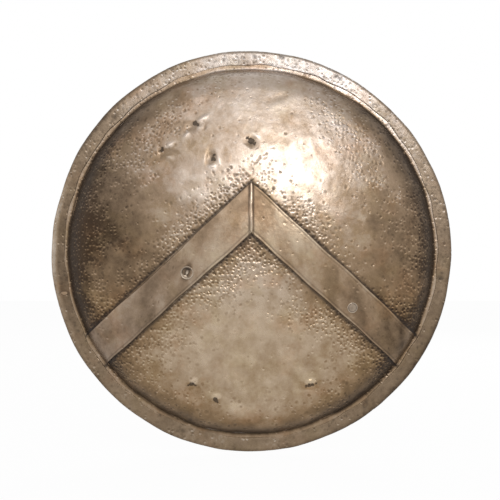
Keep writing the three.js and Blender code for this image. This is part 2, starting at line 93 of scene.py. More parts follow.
# %% A node's output that can be added
class Wire:
    """A node's output, which can be used in sums."""

    def __init__(self, finish, socket):
        self.finish = finish
        self.socket = socket

    def sum(self, operation, *values):
        return self.finish.node("Math", {"operation": operation}, *values)

    def __add__(self, other):
        return self.sum("ADD", self, other)

    __radd__ = __add__

    def __sub__(self, other):
        return self.sum("SUBTRACT", self, other)

    def __rsub__(self, other):
        return self.sum("SUBTRACT", other, self)

    def __mul__(self, other):
        return self.sum("MULTIPLY", self, other)

    def other(self, name):
        """Another output of the same node."""
        return Wire(self.finish, self.socket.node.outputs[name])

    def clipped(self):
        """The sum, kept between 0 and 1."""
        settings = {"operation": "ADD", "use_clamp": True}
        return self.finish.node("Math", settings, self, 0.0)

    def between(self, low, high):
        """0 up to low, 1 from high on, and a smooth step between them."""
        settings = {"interpolation_type": "SMOOTHSTEP"}
        return self.finish.node("MapRange", settings, self, low, high, 0.0, 1.0)


# %% A material made of sums
class Finish:
    """The nodes of a material, or of the world, written as sums."""

    def __init__(self, name, owner=None):
        self.material = owner or bpy.data.materials.new(name)
        self.material.use_nodes = True
        self.tree = self.material.node_tree
        self.tree.nodes.clear()

    def feed(self, socket, value):
        if isinstance(value, Wire):
            self.tree.links.new(value.socket, socket)
        elif isinstance(value, (tuple, list)) and socket.type == "RGBA":
            socket.default_value = (*value, 1.0) if len(value) == 3 else value
        else:
            socket.default_value = value

    def node(self, kind, settings, *values, out=0, **named):
        """Makes a node. A ramp's stops are one of its settings, as (place, colour) pairs."""
        made = self.tree.nodes.new("ShaderNode" + kind)
        for key, value in settings.items():
            if key == "stops":
                for stop in list(made.color_ramp.elements)[1:]:
                    made.color_ramp.elements.remove(stop)
                for i, (place, colour) in enumerate(value):
                    stop = made.color_ramp.elements[0] if i == 0 else made.color_ramp.elements.new(place)
                    stop.position = place
                    stop.color = (*colour, 1.0)
            else:
                setattr(made, key, value)
        for socket, value in zip(made.inputs, values):
            if value is not None:
                self.feed(socket, value)
        for name, value in named.items():
            self.feed(made.inputs[name.replace("_", " ")], value)
        return Wire(self, made.outputs[out]) if made.outputs else None

    def mark(self, name):
        """A number that is stored on the mesh's points."""
        return self.node("Attribute", {"attribute_name": name}, out=2)

    def place(self):
        return self.node("TexCoord", {}, out=3)

    def noise(self, scale, detail=3.0, roughness=0.5, at=None):
        at = at or self.place()
        named = {"Scale": scale, "Detail": detail, "Roughness": roughness}
        return self.node("TexNoise", {}, Vector=at, **named)

    def cells(self, scale, at=None, feature="F1", flat=False, jitter=1.0):
        """How far each place is from the middle of its cell. Flat cells leave out the third number."""
        at = at or self.place()
        settings = {"feature": feature, "voronoi_dimensions": "2D" if flat else "3D"}
        return self.node("TexVoronoi", settings, Vector=at, Scale=scale, Randomness=jitter)

    def blend(self, low, high, factor, mode="MIX"):
        """One colour over another."""
        made = self.tree.nodes.new("ShaderNodeMix")
        made.data_type = "RGBA"
        made.blend_type = mode
        self.feed(made.inputs[0], factor)
        self.feed(made.inputs[6], low)
        self.feed(made.inputs[7], high)
        return Wire(self, made.outputs[2])

    def bumped(self, height, distance, strength=1.0):
        named = {"Height": height, "Distance": distance, "Strength": strength}
        return self.node("Bump", {}, **named)

    def done(self, **sockets):
        """Ends the finish in a Principled shader with these sockets."""
        shader = self.node("BsdfPrincipled", {}, **sockets)
        self.node("OutputMaterial", {}, shader)
        return self.material


print("materials so far:", len(bpy.data.materials))

# %% [markdown]
# ## The studio
#
# The photograph has a white ground with no shadow. White that comes from strong lamps would burn out the
# shield, so it comes from the floor and the world themselves, and only for rays that the camera, a
# reflection or a clear body sends out. Rays that carry daylight to the shield meet a dimmer world. A key
# lamp above the camera and to its right makes the bright patch high on the dome, and a wide lamp behind
# the camera lights the top of the rim. Lamps at the sides and behind keep the other views readable.

# %% The floor and the world
FLOOR_HEIGHT = -0.4445
FLOOR_GLOW = 0.965
WORLD_LIGHT = 0.5


def seen_directly(finish):
    """1 for rays from the camera, a reflection or a clear body, and 0 for the rest."""
    rays = finish.node("LightPath", {})
    kinds = ("Is Camera Ray", "Is Glossy Ray", "Is Transmission Ray")
    camera_ray, glossy_ray, clear_ray = (rays.other(kind) for kind in kinds)
    return (camera_ray + glossy_ray + clear_ray).clipped()


def make_floor():
    finish = Finish("studio_floor")
    lit = finish.node("BsdfDiffuse", {}, (0.86, 0.86, 0.86))
    white = finish.node("Emission", {}, (1.0, 1.0, 1.0), 1.0)
    factor = seen_directly(finish) * FLOOR_GLOW
    finish.node("OutputMaterial", {}, finish.node("MixShader", {}, factor, lit, white))
    mesh = bpy.data.meshes.new("studio_floor")
    corners = [(-6, -6), (6, -6), (6, 6), (-6, 6)]
    mesh.from_pydata([(x, y, FLOOR_HEIGHT) for x, y in corners], [], [(0, 1, 2, 3)])
    mesh.materials.append(finish.material)
    floor = bpy.data.objects.new("studio_floor", mesh)
    bpy.context.scene.collection.objects.link(floor)


def make_world():
    world = bpy.data.worlds.new("studio_world")
    bpy.context.scene.world = world
    finish = Finish("studio_world", world)
    strength = seen_directly(finish) * (1 - WORLD_LIGHT) + WORLD_LIGHT
    light = finish.node("Background", {}, (1.0, 1.0, 1.0), strength)
    finish.node("OutputWorld", {}, light)


make_floor()
make_world()
print("world light:", WORLD_LIGHT)

# %% The lamps
def hang_lamp(name, place, target, size, power):
    light = bpy.data.lights.new(name, "AREA")
    light.shape = "RECTANGLE"
    light.size, light.size_y = size
    light.energy = power
    lamp = bpy.data.objects.new(name, light)
    lamp.location = place
    aim = Vector(target) - Vector(place)
    lamp.rotation_euler = aim.to_track_quat("-Z", "Y").to_euler()
    lamp.visible_camera = False
    bpy.context.scene.collection.objects.link(lamp)


LAMPS = [
    ("key_lamp", (0.44, -2.05, 0.91), (0.03, 0.0, 0.05), (0.72, 0.52), 8.6),
    ("wide_lamp", (0.10, -2.6, 1.35), (0.0, 0.0, 0.0), (2.2, 1.3), 11),
    ("left_lamp", (-2.4, -1.0, 0.5), (0.0, 0.0, 0.0), (0.8, 1.2), 4),
    ("right_lamp", (2.4, -1.0, 0.3), (0.0, 0.0, 0.0), (0.8, 1.2), 3),
    ("back_lamp", (0.8, 2.4, 1.2), (0.0, 0.0, 0.0), (1.2, 1.2), 26),
]
for lamp in LAMPS:
    hang_lamp(*lamp)
print("lamps:", len(LAMPS))

# %% [markdown]
# ## From numbers to pieces
#
# Every piece here is a mesh whose points are worked out with numpy, since old bronze is nowhere flat or
# even, and a number for each point can be bent, dented and roughened freely. A helper turns the arrays
# into an object, hands over its finish, hangs it on an empty for the body it rides on, and hides the plain
# solid it stands for. Numbers can be stored on the points too: the finishes read them as dirt, wear,
# painted light and shade and so on.

# %% Make a piece
def make_piece(name, points, faces, finish, replaces=(), body="shield", marks=None, smooth=True, slot=None):
    """points in millimetres; faces as arrays of three or four corners; marks as one number per point.

    A mark may leave out the last points, which then get 0. A slot that isn't given is named like the finish,
    without the number that Blender adds to a name that is taken, but the slot is not used.
    """
    mesh = bpy.data.meshes.new(name)
    slot = slot or finish.name.split(".")[0]
    points = np.asarray(points, float).reshape(-1, 3)
    groups = [np.asarray(group, np.int32) for group in faces if len(group)]
    sizes = np.concatenate([np.full(len(group), group.shape[1]) for group in groups])
    starts = np.concatenate([[0], np.cumsum(sizes)[:-1]])
    corners = np.concatenate([group.ravel() for group in groups])
    mesh.vertices.add(len(points))
    mesh.vertices.foreach_set("co", (points * MM).ravel())
    mesh.loops.add(len(corners))
    mesh.loops.foreach_set("vertex_index", corners)
    mesh.polygons.add(len(sizes))
    mesh.polygons.foreach_set("loop_start", starts.astype(np.int32))
    mesh.polygons.foreach_set("use_smooth", np.full(len(sizes), smooth))
    mesh.update(calc_edges=True)
    for key, values in (marks or {}).items():
        stored = np.zeros(len(points), np.float32)
        stored[: np.size(values)] = np.ravel(values)
        mesh.attributes.new(key, "FLOAT", "POINT").data.foreach_set("value", stored)
    mesh.materials.append(finish)
    piece = bpy.data.objects.new(name, mesh)
    bpy.context.scene.collection.objects.link(piece)
    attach(piece, body)
    if replaces:
        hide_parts(*replaces)
    print(f"{name}: {len(points)} points, {len(sizes)} faces")


def grid_faces(rows, columns, closed=False, ring=False, flip=False):
    """Four-cornered faces over a grid of points.

    closed joins the last column to the first, and ring joins the last row to the first.
    """
    places = np.arange(rows - (not ring)), np.arange(columns - (not closed))
    row, column = np.meshgrid(*places, indexing="ij")
    below, after = (row + 1) % rows, (column + 1) % columns
    corners = [row * columns + column, row * columns + after]
    corners += [below * columns + after, below * columns + column]
    quads = np.stack(corners, axis=-1).reshape(-1, 4)
    return quads[:, ::-1] if flip else quads


def fan_faces(centre, ring, flip=False):
    """Triangles from a middle corner to each side of a closed ring of corners."""
    ring = np.asarray(ring)
    fan = np.stack([np.full(len(ring), centre), ring, np.roll(ring, -1)], axis=-1)
    return fan[:, ::-1] if flip else fan


def capped_rings(rings, sides):
    """Faces over rings of points, closed at both ends round two points that come after the rings."""
    last = rings * sides
    faces = [grid_faces(rings, sides, closed=True), fan_faces(last, np.arange(sides), flip=True)]
    return [*faces, fan_faces(last + 1, np.arange(last - sides, last))]


def joined(*parts):
    """Several (points, faces) parts as one, with the corners renumbered."""
    points, faces, start = [], [], 0
    for part_points, part_faces in parts:
        part_points = np.asarray(part_points, float).reshape(-1, 3)
        points.append(part_points)
        faces += [np.asarray(group) + start for group in part_faces if len(group)]
        start += len(part_points)
    return np.concatenate(points), faces

# %% [markdown]
# ## The line of the bowl
#
# A cut through the shield along its axis is one line: a long shallow arc for the dome, a tight arc for
# the shoulder, a short steep wall, and the flat rim. Every piece on the shield lies some way over or
# under that line, so it is worked out once, as a table of places along the line, and read anywhere with
# numpy's interp. Unlike the CAD model, which has a small hollow corner between wall and rim, the beaten
# sheet turns there in a soft bend.

# %% Draw the bowl's line
SHIELD_RADIUS = 440
MOUTH_RADIUS = 399
RIM_FACE = 12.0  # depth of the facing's flat rim
DOME_HEIGHT = 105
DOME_RADIUS = 1300
SHOULDER_RADIUS = 75
WALL_LEAN = np.radians(15)
CORNER_RADIUS = 4
FACING_EDGE = 433.5
LINING_FACE = -9.8  # how far the lining's face is under the facing's, which the fittings lie on
DOME_STEPS, SHOULDER_STEPS = 260, 120

wall_distance = MOUTH_RADIUS * np.cos(WALL_LEAN) + RIM_FACE * np.sin(WALL_LEAN)
dome_centre = RIM_FACE + DOME_HEIGHT - DOME_RADIUS
reach = DOME_RADIUS - SHOULDER_RADIUS
past_dome = wall_distance - SHOULDER_RADIUS - dome_centre * np.sin(WALL_LEAN)
dome_angle = np.arcsin(past_dome / reach) - WALL_LEAN
shoulder_middle = (reach * np.sin(dome_angle), dome_centre + reach * np.cos(dome_angle))


def arc(middle, radius, angles):
    """Rows of (radius, depth, angle of the normal from the axis) on an arc."""
    across, depth = middle
    return [(across + radius * np.sin(angle), depth + radius * np.cos(angle), angle) for angle in angles]


def draw_bowl_line(to_rim):
    """The line as rows of the same kind, out to the rim's edge or straight on down the wall."""
    turn = np.pi / 2 - WALL_LEAN
    rows = arc((0, dome_centre), DOME_RADIUS, np.linspace(0, dome_angle, DOME_STEPS))
    rows += arc(shoulder_middle, SHOULDER_RADIUS, np.linspace(dome_angle, turn, SHOULDER_STEPS)[1:])
    if not to_rim:
        down = 30
        foot = (rows[-1][0] + down * np.tan(WALL_LEAN), rows[-1][1] - down, turn)
        return np.array([*rows, foot])
    bend_middle = (MOUTH_RADIUS + CORNER_RADIUS * np.tan(turn / 2), RIM_FACE + CORNER_RADIUS)
    rows += arc(bend_middle, -CORNER_RADIUS, np.linspace(turn, 0, 16))
    return np.array([*rows, (FACING_EDGE, RIM_FACE, 0.0)])


print("the dome ends", round(np.degrees(dome_angle), 1), "degrees from the axis")

# %% Read the line anywhere
def travelled(path):
    """How far along a path each of its points lies."""
    return np.concatenate([[0], np.cumsum(np.linalg.norm(np.diff(path, axis=0), axis=1))])


def around_axis(radius, depth, bearing):
    """Points at a radius and a depth, in the direction of a bearing from straight up."""
    place = (radius * np.sin(bearing), -depth, radius * np.cos(bearing))
    return np.stack(np.broadcast_arrays(*place), axis=-1)


class BowlFace:
    """A face that follows the bowl's line at an even distance. Its side is 1 in front and -1 behind."""

    def __init__(self, to_rim, distance, side):
        self.line, self.distance, self.side = draw_bowl_line(to_rim), distance, side
        self.length = travelled(self.line[:, :2])
        self.radius = self.line[:, 0] + distance * np.sin(self.line[:, 2])

    def along(self, length, height=0.0):
        """Radius and depth at a length along the line, a height over the face."""
        radius, depth, angle = (np.interp(length, self.length, column) for column in self.line.T)
        offset = self.distance + self.side * height
        return radius + offset * np.sin(angle), depth + offset * np.cos(angle)

    def length_at(self, radius):
        """How far along the line a point of the front view lies."""
        return np.interp(radius, self.radius, self.length)

    def over(self, length, bearing, height=0.0):
        """Points at a length along the line, in the direction of a bearing from straight up."""
        return around_axis(*self.along(length, height), bearing)

    def on(self, x, z, height=0.0):
        """Points a height over the face at (x, z) of the front view."""
        return self.over(self.length_at(np.hypot(x, z)), np.arctan2(x, z), height)

    def normal(self, x, z):
        """The direction straight off the face."""
        angle = np.interp(self.length_at(np.hypot(x, z)), self.length, self.line[:, 2])
        return self.side * around_axis(np.sin(angle), np.cos(angle), np.arctan2(x, z))


bowl = BowlFace(to_rim=True, distance=0.0, side=1)
lining = BowlFace(to_rim=False, distance=LINING_FACE, side=-1)
DOME_END, SHOULDER_END = DOME_RADIUS * dome_angle, bowl.length[DOME_STEPS + SHOULDER_STEPS - 2]
LINE_END = bowl.length[-1]
print("dome, shoulder and line end at", np.round([DOME_END, SHOULDER_END, LINE_END]), "mm along it")
front_depth = -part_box("bronze_facing")[0][1] / MM
print("depth here and in the CAD model:", round(bowl.line[0, 1], 1), round(front_depth, 1))

# %% [markdown]
# ## Beating a sheet
#
# The real facing was raised with a hammer and then lived a hard life. It has broad waves from the
# raising, flat spots from the planishing, thousands of small round pits, and a handful of deep dents. A
# displacement modifier with a texture could give the waves, but not a dent in a chosen place. Here the
# sheet is laid out flat as a grid of heights, a millimetre to a cell. Marks are pressed into the grid one
# by one, and each point of the mesh then reads its height from it. The same seed gives the same marks.

# %% A flat sheet that takes marks
class Sheet:
    """Heights in millimetres over a flat sheet, a millimetre to a cell. A wrapped sheet joins end to end."""

    def __init__(self, left, right, bottom, top, seed, wraps=False):
        self.left, self.bottom, self.wraps = left, bottom, wraps
        self.shape = (int(top - bottom) + 1, int(right - left) + (0 if wraps else 1))
        self.height = np.zeros(self.shape)
        self.pits = np.zeros(self.shape)
        self.random = np.random.default_rng(seed)

    def weights(self, count, size, wraps):
        """How much each coarse number counts at each cell, which makes the waves smooth."""
        coarse = max(4, int(round(count / size)))
        place = np.arange(count) * coarse / count if wraps else np.arange(count) / size
        whole = np.floor(place).astype(int)
        past = place - whole
        left = 1 - past
        width = coarse if wraps else int(whole.max()) + 4
        parts = [left**3, 3 * past**3 - 6 * past**2 + 4, 3 * left**3 - 6 * left**2 + 4, past**3]
        table = np.zeros((count, width))
        for i, part in enumerate(parts):
            np.add.at(table, (np.arange(count), (whole + i) % width), part / 6)
        return table

    def waves(self, size):
        """Smooth random waves about that many millimetres long, with a spread of 1."""
        rows = self.weights(self.shape[0], size, False)
        columns = self.weights(self.shape[1], size, self.wraps)
        field = rows @ self.random.normal(size=(rows.shape[1], columns.shape[1])) @ columns.T
        return field / field.std()

    def add_waves(self, *waves):
        """Adds waves that are given as (height, length)."""
        self.height += sum(height * self.waves(length) for height, length in waves)

    def press(self, x, y, long, wide, turn, height, kind="pit"):
        """Presses a mark whose half length and half width are given. Its height is below zero for a dent."""
        span = int(2.2 * max(long, wide)) + 2
        column, row = x - self.left, y - self.bottom
        columns = np.arange(int(column) - span, int(column) + span + 1)
        rows = np.arange(int(row) - span, int(row) + span + 1)
        rows = rows[(rows >= 0) & (rows < self.shape[0])]
        if not self.wraps:
            columns = columns[(columns >= 0) & (columns < self.shape[1])]
        if not len(rows) or not len(columns):
            return
        across, up = np.meshgrid(columns - column, rows - row)
        along = (across * np.cos(turn) + up * np.sin(turn)) / long
        aside = (up * np.cos(turn) - across * np.sin(turn)) / wide
        distance = along**2 + aside**2
        if kind == "pit":
            mark = np.exp(-(distance**1.5)) - 0.28 * np.exp(-((np.sqrt(distance) - 1.45) ** 2) / 0.12)
        elif kind == "crease":
            mark = np.exp(-(along**2) - 1.1 * np.sqrt(aside**2 + 0.05))
        elif kind == "ring":
            mark = np.exp(-((np.sqrt(distance) - 0.75) ** 2) / 0.05)
        elif kind == "plug":
            mark = np.exp(-((np.maximum(np.abs(along), np.abs(aside)) - 0.8) ** 2) / 0.02)
        else:
            mark = np.exp(-distance)
        place = np.ix_(rows, columns % self.shape[1])
        self.height[place] += height * mark
        if height < 0 and kind in ("pit", "dent"):
            self.pits[place] = np.maximum(self.pits[place], np.clip(mark, 0, 1) * min(1, -height / 0.8))

    def scatter(self, count, density, radii, depths, stretch=1.5):
        """Presses small pits at random. The density on the grid is the chance that a pit is kept there."""
        taken = np.zeros((self.shape[0] // 3 + 2, self.shape[1] // 3 + 2), bool)
        made = 0
        for _ in range(count):
            row, column = self.random.random(2) * self.shape
            keep, size, depth, turn, squeeze = self.random.random(5)
            spot = (int(row // 3), int(column // 3))
            near = taken[max(spot[0] - 1, 0) : spot[0] + 2, max(spot[1] - 1, 0) : spot[1] + 2]
            if keep > density[int(row), int(column)] or near.any():
                continue
            taken[spot] = True
            long = radii[0] + (radii[1] - radii[0]) * size**1.6
            wide = long / (1 + (stretch - 1) * squeeze)
            deep = -(depths[0] + (depths[1] - depths[0]) * depth)
            self.press(column + self.left, row + self.bottom, long, wide, turn * np.pi, deep)
            made += 1
        return made

    def read(self, x, y, values=None):
        """The heights, or other values, at places on the sheet."""
        values = self.height if values is None else values
        column = np.asarray(x) - self.left
        row = np.clip(np.asarray(y) - self.bottom, 0, self.shape[0] - 1.001)
        if not self.wraps:
            column = np.clip(column, 0, self.shape[1] - 1.001)
        first, below = np.floor(column).astype(int), np.floor(row).astype(int)
        past, over = column - first, row - below
        first, after = first % self.shape[1], (first + 1) % self.shape[1]
        low = values[below, first] * (1 - past) + values[below, after] * past
        high = values[below + 1, first] * (1 - past) + values[below + 1, after] * past
        return low * (1 - over) + high * over


print("a sheet of 100 by 60 mm has", Sheet(0, 100, 0, 60, seed=1).shape, "cells")

# %% [markdown]
# ## The marks on the facing
#
# Pits crowd along both sides of the V and towards the rim, and the worn top of the dome has almost none.
# So their density is a sum of a few plain terms. The big dents are listed with their places, as seen from
# the front and measured from the axis. A deep dent is never one dimple: the metal it pushed away stands
# up beside it, so each has a hollow and small swellings.

# %% Where the V's edges are
V_TIP = 146  # from the axis up to the outer tip
V_DROP = 108  # from the outer tip down to the inner one
OUTER_SLOPE, INNER_SLOPE = np.radians(42.6), np.radians(41.9)


def above_v(x, z):
    """How far a point is outside the V's outer edges, and below zero inside them."""
    return (z - V_TIP + np.abs(x) * np.tan(OUTER_SLOPE)) * np.cos(OUTER_SLOPE)


def below_v(x, z):
    return (V_TIP - V_DROP - np.abs(x) * np.tan(INNER_SLOPE) - z) * np.cos(INNER_SLOPE)


print("V from", V_TIP, "down to", V_TIP - V_DROP, "mm over the axis")

# %% Smooth bells and steps
def bell(value, middle, spread):
    """1 at the middle, and nearly 0 at twice the spread to either side."""
    return np.exp(-(((value - middle) / spread) ** 2))


def step(value, low, high):
    """A smooth step from 0 at low to 1 at high."""
    share = np.clip((value - low) / (high - low), 0, 1)
    return share * share * (3 - 2 * share)


def patch(x, z, middle, spreads):
    """A bell over a place of the front view, with one spread sideways and one upwards."""
    return np.exp(-(((x - middle[0]) / spreads[0]) ** 2 + ((z - middle[1]) / spreads[1]) ** 2))


print("a bell, one spread away from its middle:", round(bell(1, 0, 1), 2))

# %% Press the facing's marks
SHEET_EDGE = 475

facing_sheet = Sheet(-SHEET_EDGE, SHEET_EDGE, -SHEET_EDGE, SHEET_EDGE, seed=41)
flat_x, flat_z = np.meshgrid(*[np.arange(-SHEET_EDGE, SHEET_EDGE + 1)] * 2)
flat_length = np.hypot(flat_x, flat_z) + 1e-9
flat_radius = bowl.along(np.minimum(flat_length, LINE_END))[0]
front_x, front_z = flat_x * flat_radius / flat_length, flat_z * flat_radius / flat_length
cluster = np.clip(0.85 + 0.35 * facing_sheet.waves(42), 0.10, 1.4)


def pit_density():
    """How thick the pits lie on the flattened sheet, from 0 to 1.5."""
    outside, inside = above_v(front_x, front_z), below_v(front_x, front_z)
    crossing = 1 - 0.5 * step(np.abs(front_x), 60, 280)
    beside_v = np.where(outside > 0, 1.45 * crossing * bell(outside, 0, 40), 0)
    within_v = np.where(inside > 0, 1.9 * crossing * bell(inside, 0, 58), 0)
    sideways = np.abs(front_x) / (flat_radius + 1e-9)
    upper = front_z > 0
    start = np.where(upper, 315 - 85 * step(sideways, 0.20, 0.75), 270)
    aside = step(sideways, 0.15, 0.6)
    crowd = np.where(upper, 0.27 + 0.46 * aside, 0.07 + 0.42 * aside)
    near_rim = step(flat_radius, start, start + 80) * crowd
    near_rim = near_rim * (1 - 0.5 * upper * step(front_x, 60, 200))
    near_rim = near_rim * (1 - 0.6 * step(-front_x, 60, 180) * step(-front_z, 120, 220))
    near_rim = near_rim * (1 - 0.3 * upper * step(-front_x, 60, 200))
    within_v = within_v * (1 - 0.5 * step(-front_x, 120, 240))
    over_tip = (outside > 0) * patch(front_x, front_z, (10, 185), (75, 45))
    in_the_glow = (outside > 0) * patch(front_x, front_z, (108, 140), (60, 60))
    thick = (0.02 + beside_v + within_v + near_rim) * cluster
    thick = thick * (1 - 0.55 * over_tip) * (1 - 0.5 * in_the_glow)
    return np.clip(thick, 0, 1.5) * (flat_length < SHOULDER_END + 12)


print("pits:", facing_sheet.scatter(36000, 0.50 * pit_density(), radii=(2.3, 4.2), depths=(0.30, 0.95)))

# %% The dents, by name
# x and z of the middle, half length, half width, turn in degrees, height, kind.
DENTS = {
    "puckered dent on the left": [
        (-188, 207, 13, 10, 15, -2.9, "wave"),
        (-165, 210, 13, 3.2, -10, -1.5, "crease"),
        (-176, 224, 13, 3.4, 32, 2.1, "crease"),
        (-179, 201, 11, 3.6, -14, 1.9, "crease"),
        (-200, 214, 3.5, 9, 5, 1.0, "crease"),
    ],
    "dent above it": [
        (-127, 263, 13, 9, 40, -3.0, "wave"),
        (-102, 283, 15, 3.4, 33, 2.0, "crease"),
        (-134, 251, 12, 3.8, 50, 2.0, "crease"),
        (-113, 262, 9, 3.2, 8, 1.0, "crease"),
        (-98, 262, 5, 2.5, 70, -0.8, "dent"),
    ],
    "dent like a tent": [
        (-87, 200, 14, 9, 88, -3.0, "wave"),
        (-97, 199, 14, 3.4, 78, 1.3, "crease"),
        (-69, 194, 11, 3.4, 104, 1.2, "crease"),
        (-82, 179, 8, 4, 0, 1.6, "crease"),
    ],
    "square dent over the tip": [
        (-1, 232, 12, 10, 20, -2.4, "wave"),
        (2, 228, 19, 2.6, -37, -1.0, "crease"),
        (11, 244, 10, 3.4, -37, 1.0, "crease"),
        (-11, 221, 10, 3.4, -37, 0.9, "crease"),
    ],
    "nicks at the lower left": [
        (-128, -284, 8, 6, 30, -1.8, "wave"),
        (-122, -274.5, 6.5, 4.6, 40, 3.4, "wave"),
        (-76, -318, 8, 6, 0, -1.6, "wave"),
        (-74, -307, 7, 4.4, 0, 3.0, "wave"),
        (-113, -287, 5, 2.4, -30, -0.9, "dent"),
    ],
    "slit at the lower right": [
        (126, -286, 13, 6, 8, -2.2, "wave"),
        (125, -275.5, 8, 5.0, 10, 4.0, "wave"),
        (141, -278, 9, 2.6, 30, -1.0, "crease"),
        (110, -280, 8, 2.6, -30, -0.8, "crease"),
        (121, -295, 10, 3.2, 5, 1.0, "crease"),
    ],
    "small square plug": [
        (126, -152, 7.5, 6.8, 25, -0.8, "plug"),
        (126, -152, 3.5, 3.5, 0, -0.5, "wave"),
    ],
    "old knocks": [
        (-250, -140, 16, 12, 30, -1.0, "wave"),
        (60, 330, 18, 9, 20, -0.8, "wave"),
        (262, 60, 14, 18, 0, -0.9, "wave"),
        (-300, 40, 14, 22, 10, -0.9, "wave"),
        (30, -230, 24, 16, 50, -0.9, "wave"),
        (-30, -330, 16, 9, 5, 0.8, "wave"),
        (-122, -70, 20, 9, -42, 0.5, "wave"),
    ],
}
print("dents:", sum(len(parts) for parts in DENTS.values()), "marks in", len(DENTS), "groups")

# %% The torn nicks and the waves
# Each nick is one or more circles of (x, z, radius).
TORN_HOLES = [
    *[(-189, 213, 3.4), (-188, 219, 2.2), (-119, 272, 5.5), (-113, 269, 3.0)],
    *[(-79, 194, 4.6), (-79, 202, 3.0), (0, 233, 6.5), (-8, 239, 2.6), (7, 227, 3.4)],
    *[(-126, -281, 4.2), (-119, -284, 2.4), (-133, -284, 2.0), (-76, -315, 4.8), (-72, -319, 3.0)],
    *[(117, -286, 2.2), (123, -284, 3.8), (130, -282.5, 3.4), (137, -280, 1.8)],
]


def flattened(x, z):
    """Where a point of the front view lies on the flattened sheet."""
    radius = np.hypot(x, z) + 1e-9
    return x * bowl.length_at(radius) / radius, z * bowl.length_at(radius) / radius


for dent in DENTS.values():
    for x, z, long, wide, turn, height, kind in dent:
        facing_sheet.press(*flattened(x, z), long, wide, np.radians(turn), height, kind)

calm = 1 - 0.45 * step(flat_length, SHOULDER_END - 15, SHOULDER_END + 10)
raising = 0.55 * facing_sheet.waves(120) + 0.26 * facing_sheet.waves(52)
planishing = 0.11 * facing_sheet.waves(14) + 0.045 * facing_sheet.waves(7)
raised = calm * raising
facing_sheet.height += raised + calm * planishing
print("nicks:", len(TORN_HOLES), "circles; deepest dent:", round(facing_sheet.height.min(), 2), "mm")

# %% [markdown]
# ## Bronze
#
# Bronze is one metal in three moods here. Where it is worn it is pale and smooth, where it is handled it
# turns brown, and where dirt stays it is almost black. The same colours also paint light and shade: the
# pale one painted highlights and the dark one painted shade. The mesh carries numbers for that: how far
# the patina has gone, with painted light and shade in it, how much dirt and painted shade lies in a pit,
# a corner or along an edge, how golden the metal is, and where small hammer marks crowd. The shader draws
# those marks, clouds and specks, which the mesh is too coarse for, with a painted highlight in a crescent
# under each hollow, and a bump gives them relief. Worn metal also keeps a coat of wax, which puts a
# second, sharper glint on it.

# %% Hammer marks, holes and noise for the bronze
PEEN_SCALE = 116.0  # cells to a metre, which sets hollows about nine millimetres apart


def peen_marks(finish):
    """Small round hollows, and the painted highlight crescent under each, as if lit from above, where the
    mesh's own number lets them be.
    """
    wander = (finish.noise(230.0, 2.0, 0.6) - 0.5) * 4.0 * MM
    across, up = finish.mark("flat_x") + wander, finish.mark("flat_z") - wander
    here = finish.node("CombineXYZ", {}, across, up)
    cells = finish.cells(PEEN_SCALE, here, flat=True, jitter=0.95)
    lottery, size = peen_draws(finish, cells)
    hollow = 1 - cells.between(0.02, size)
    chosen = (finish.mark("peened") - lottery).between(-0.04, 0.04)
    above = finish.node("CombineXYZ", {}, across, up + 2.4 * MM)
    shadow = finish.cells(PEEN_SCALE, above, flat=True, jitter=0.95)
    shadow = 1 - shadow.between(0.02, peen_draws(finish, shadow)[1])
    return hollow * chosen, (shadow - hollow).clipped() * chosen


def peen_draws(finish, cells):
    """Two random numbers of each cell: whether it is struck at all, and how wide."""
    drawn = finish.node("SeparateColor", {}, cells.other("Color"))
    return drawn, drawn.other("Green") * 0.22 + 0.38


def torn_holes(finish, holes):
    """1 in the holes and 0 outside them, with a ragged edge. Each hole is circles of (x, z, radius)."""
    flat = finish.node("VectorMath", {"operation": "MULTIPLY"}, finish.place(), (1.0, 0.0, 1.0))
    nearest = 1.0
    for x, z, radius in holes:
        middle = (x * MM, 0.0, z * MM)
        away = finish.node("VectorMath", {"operation": "DISTANCE"}, flat, middle, out=1) - radius * MM
        nearest = finish.node("Math", {"operation": "MINIMUM"}, away, nearest)
    ragged = (finish.noise(210.0, 2.0, 0.6) - 0.5) * 9.0 * MM
    return 1 - (nearest + ragged).between(-0.7 * MM, 0.7 * MM)


def shifted(finish, amount):
    """The place on the piece, moved, so that a second noise differs from the first."""
    return finish.node("VectorMath", {"operation": "ADD"}, finish.place(), (amount, amount, amount))


print("hammer marks to a metre:", PEEN_SCALE)

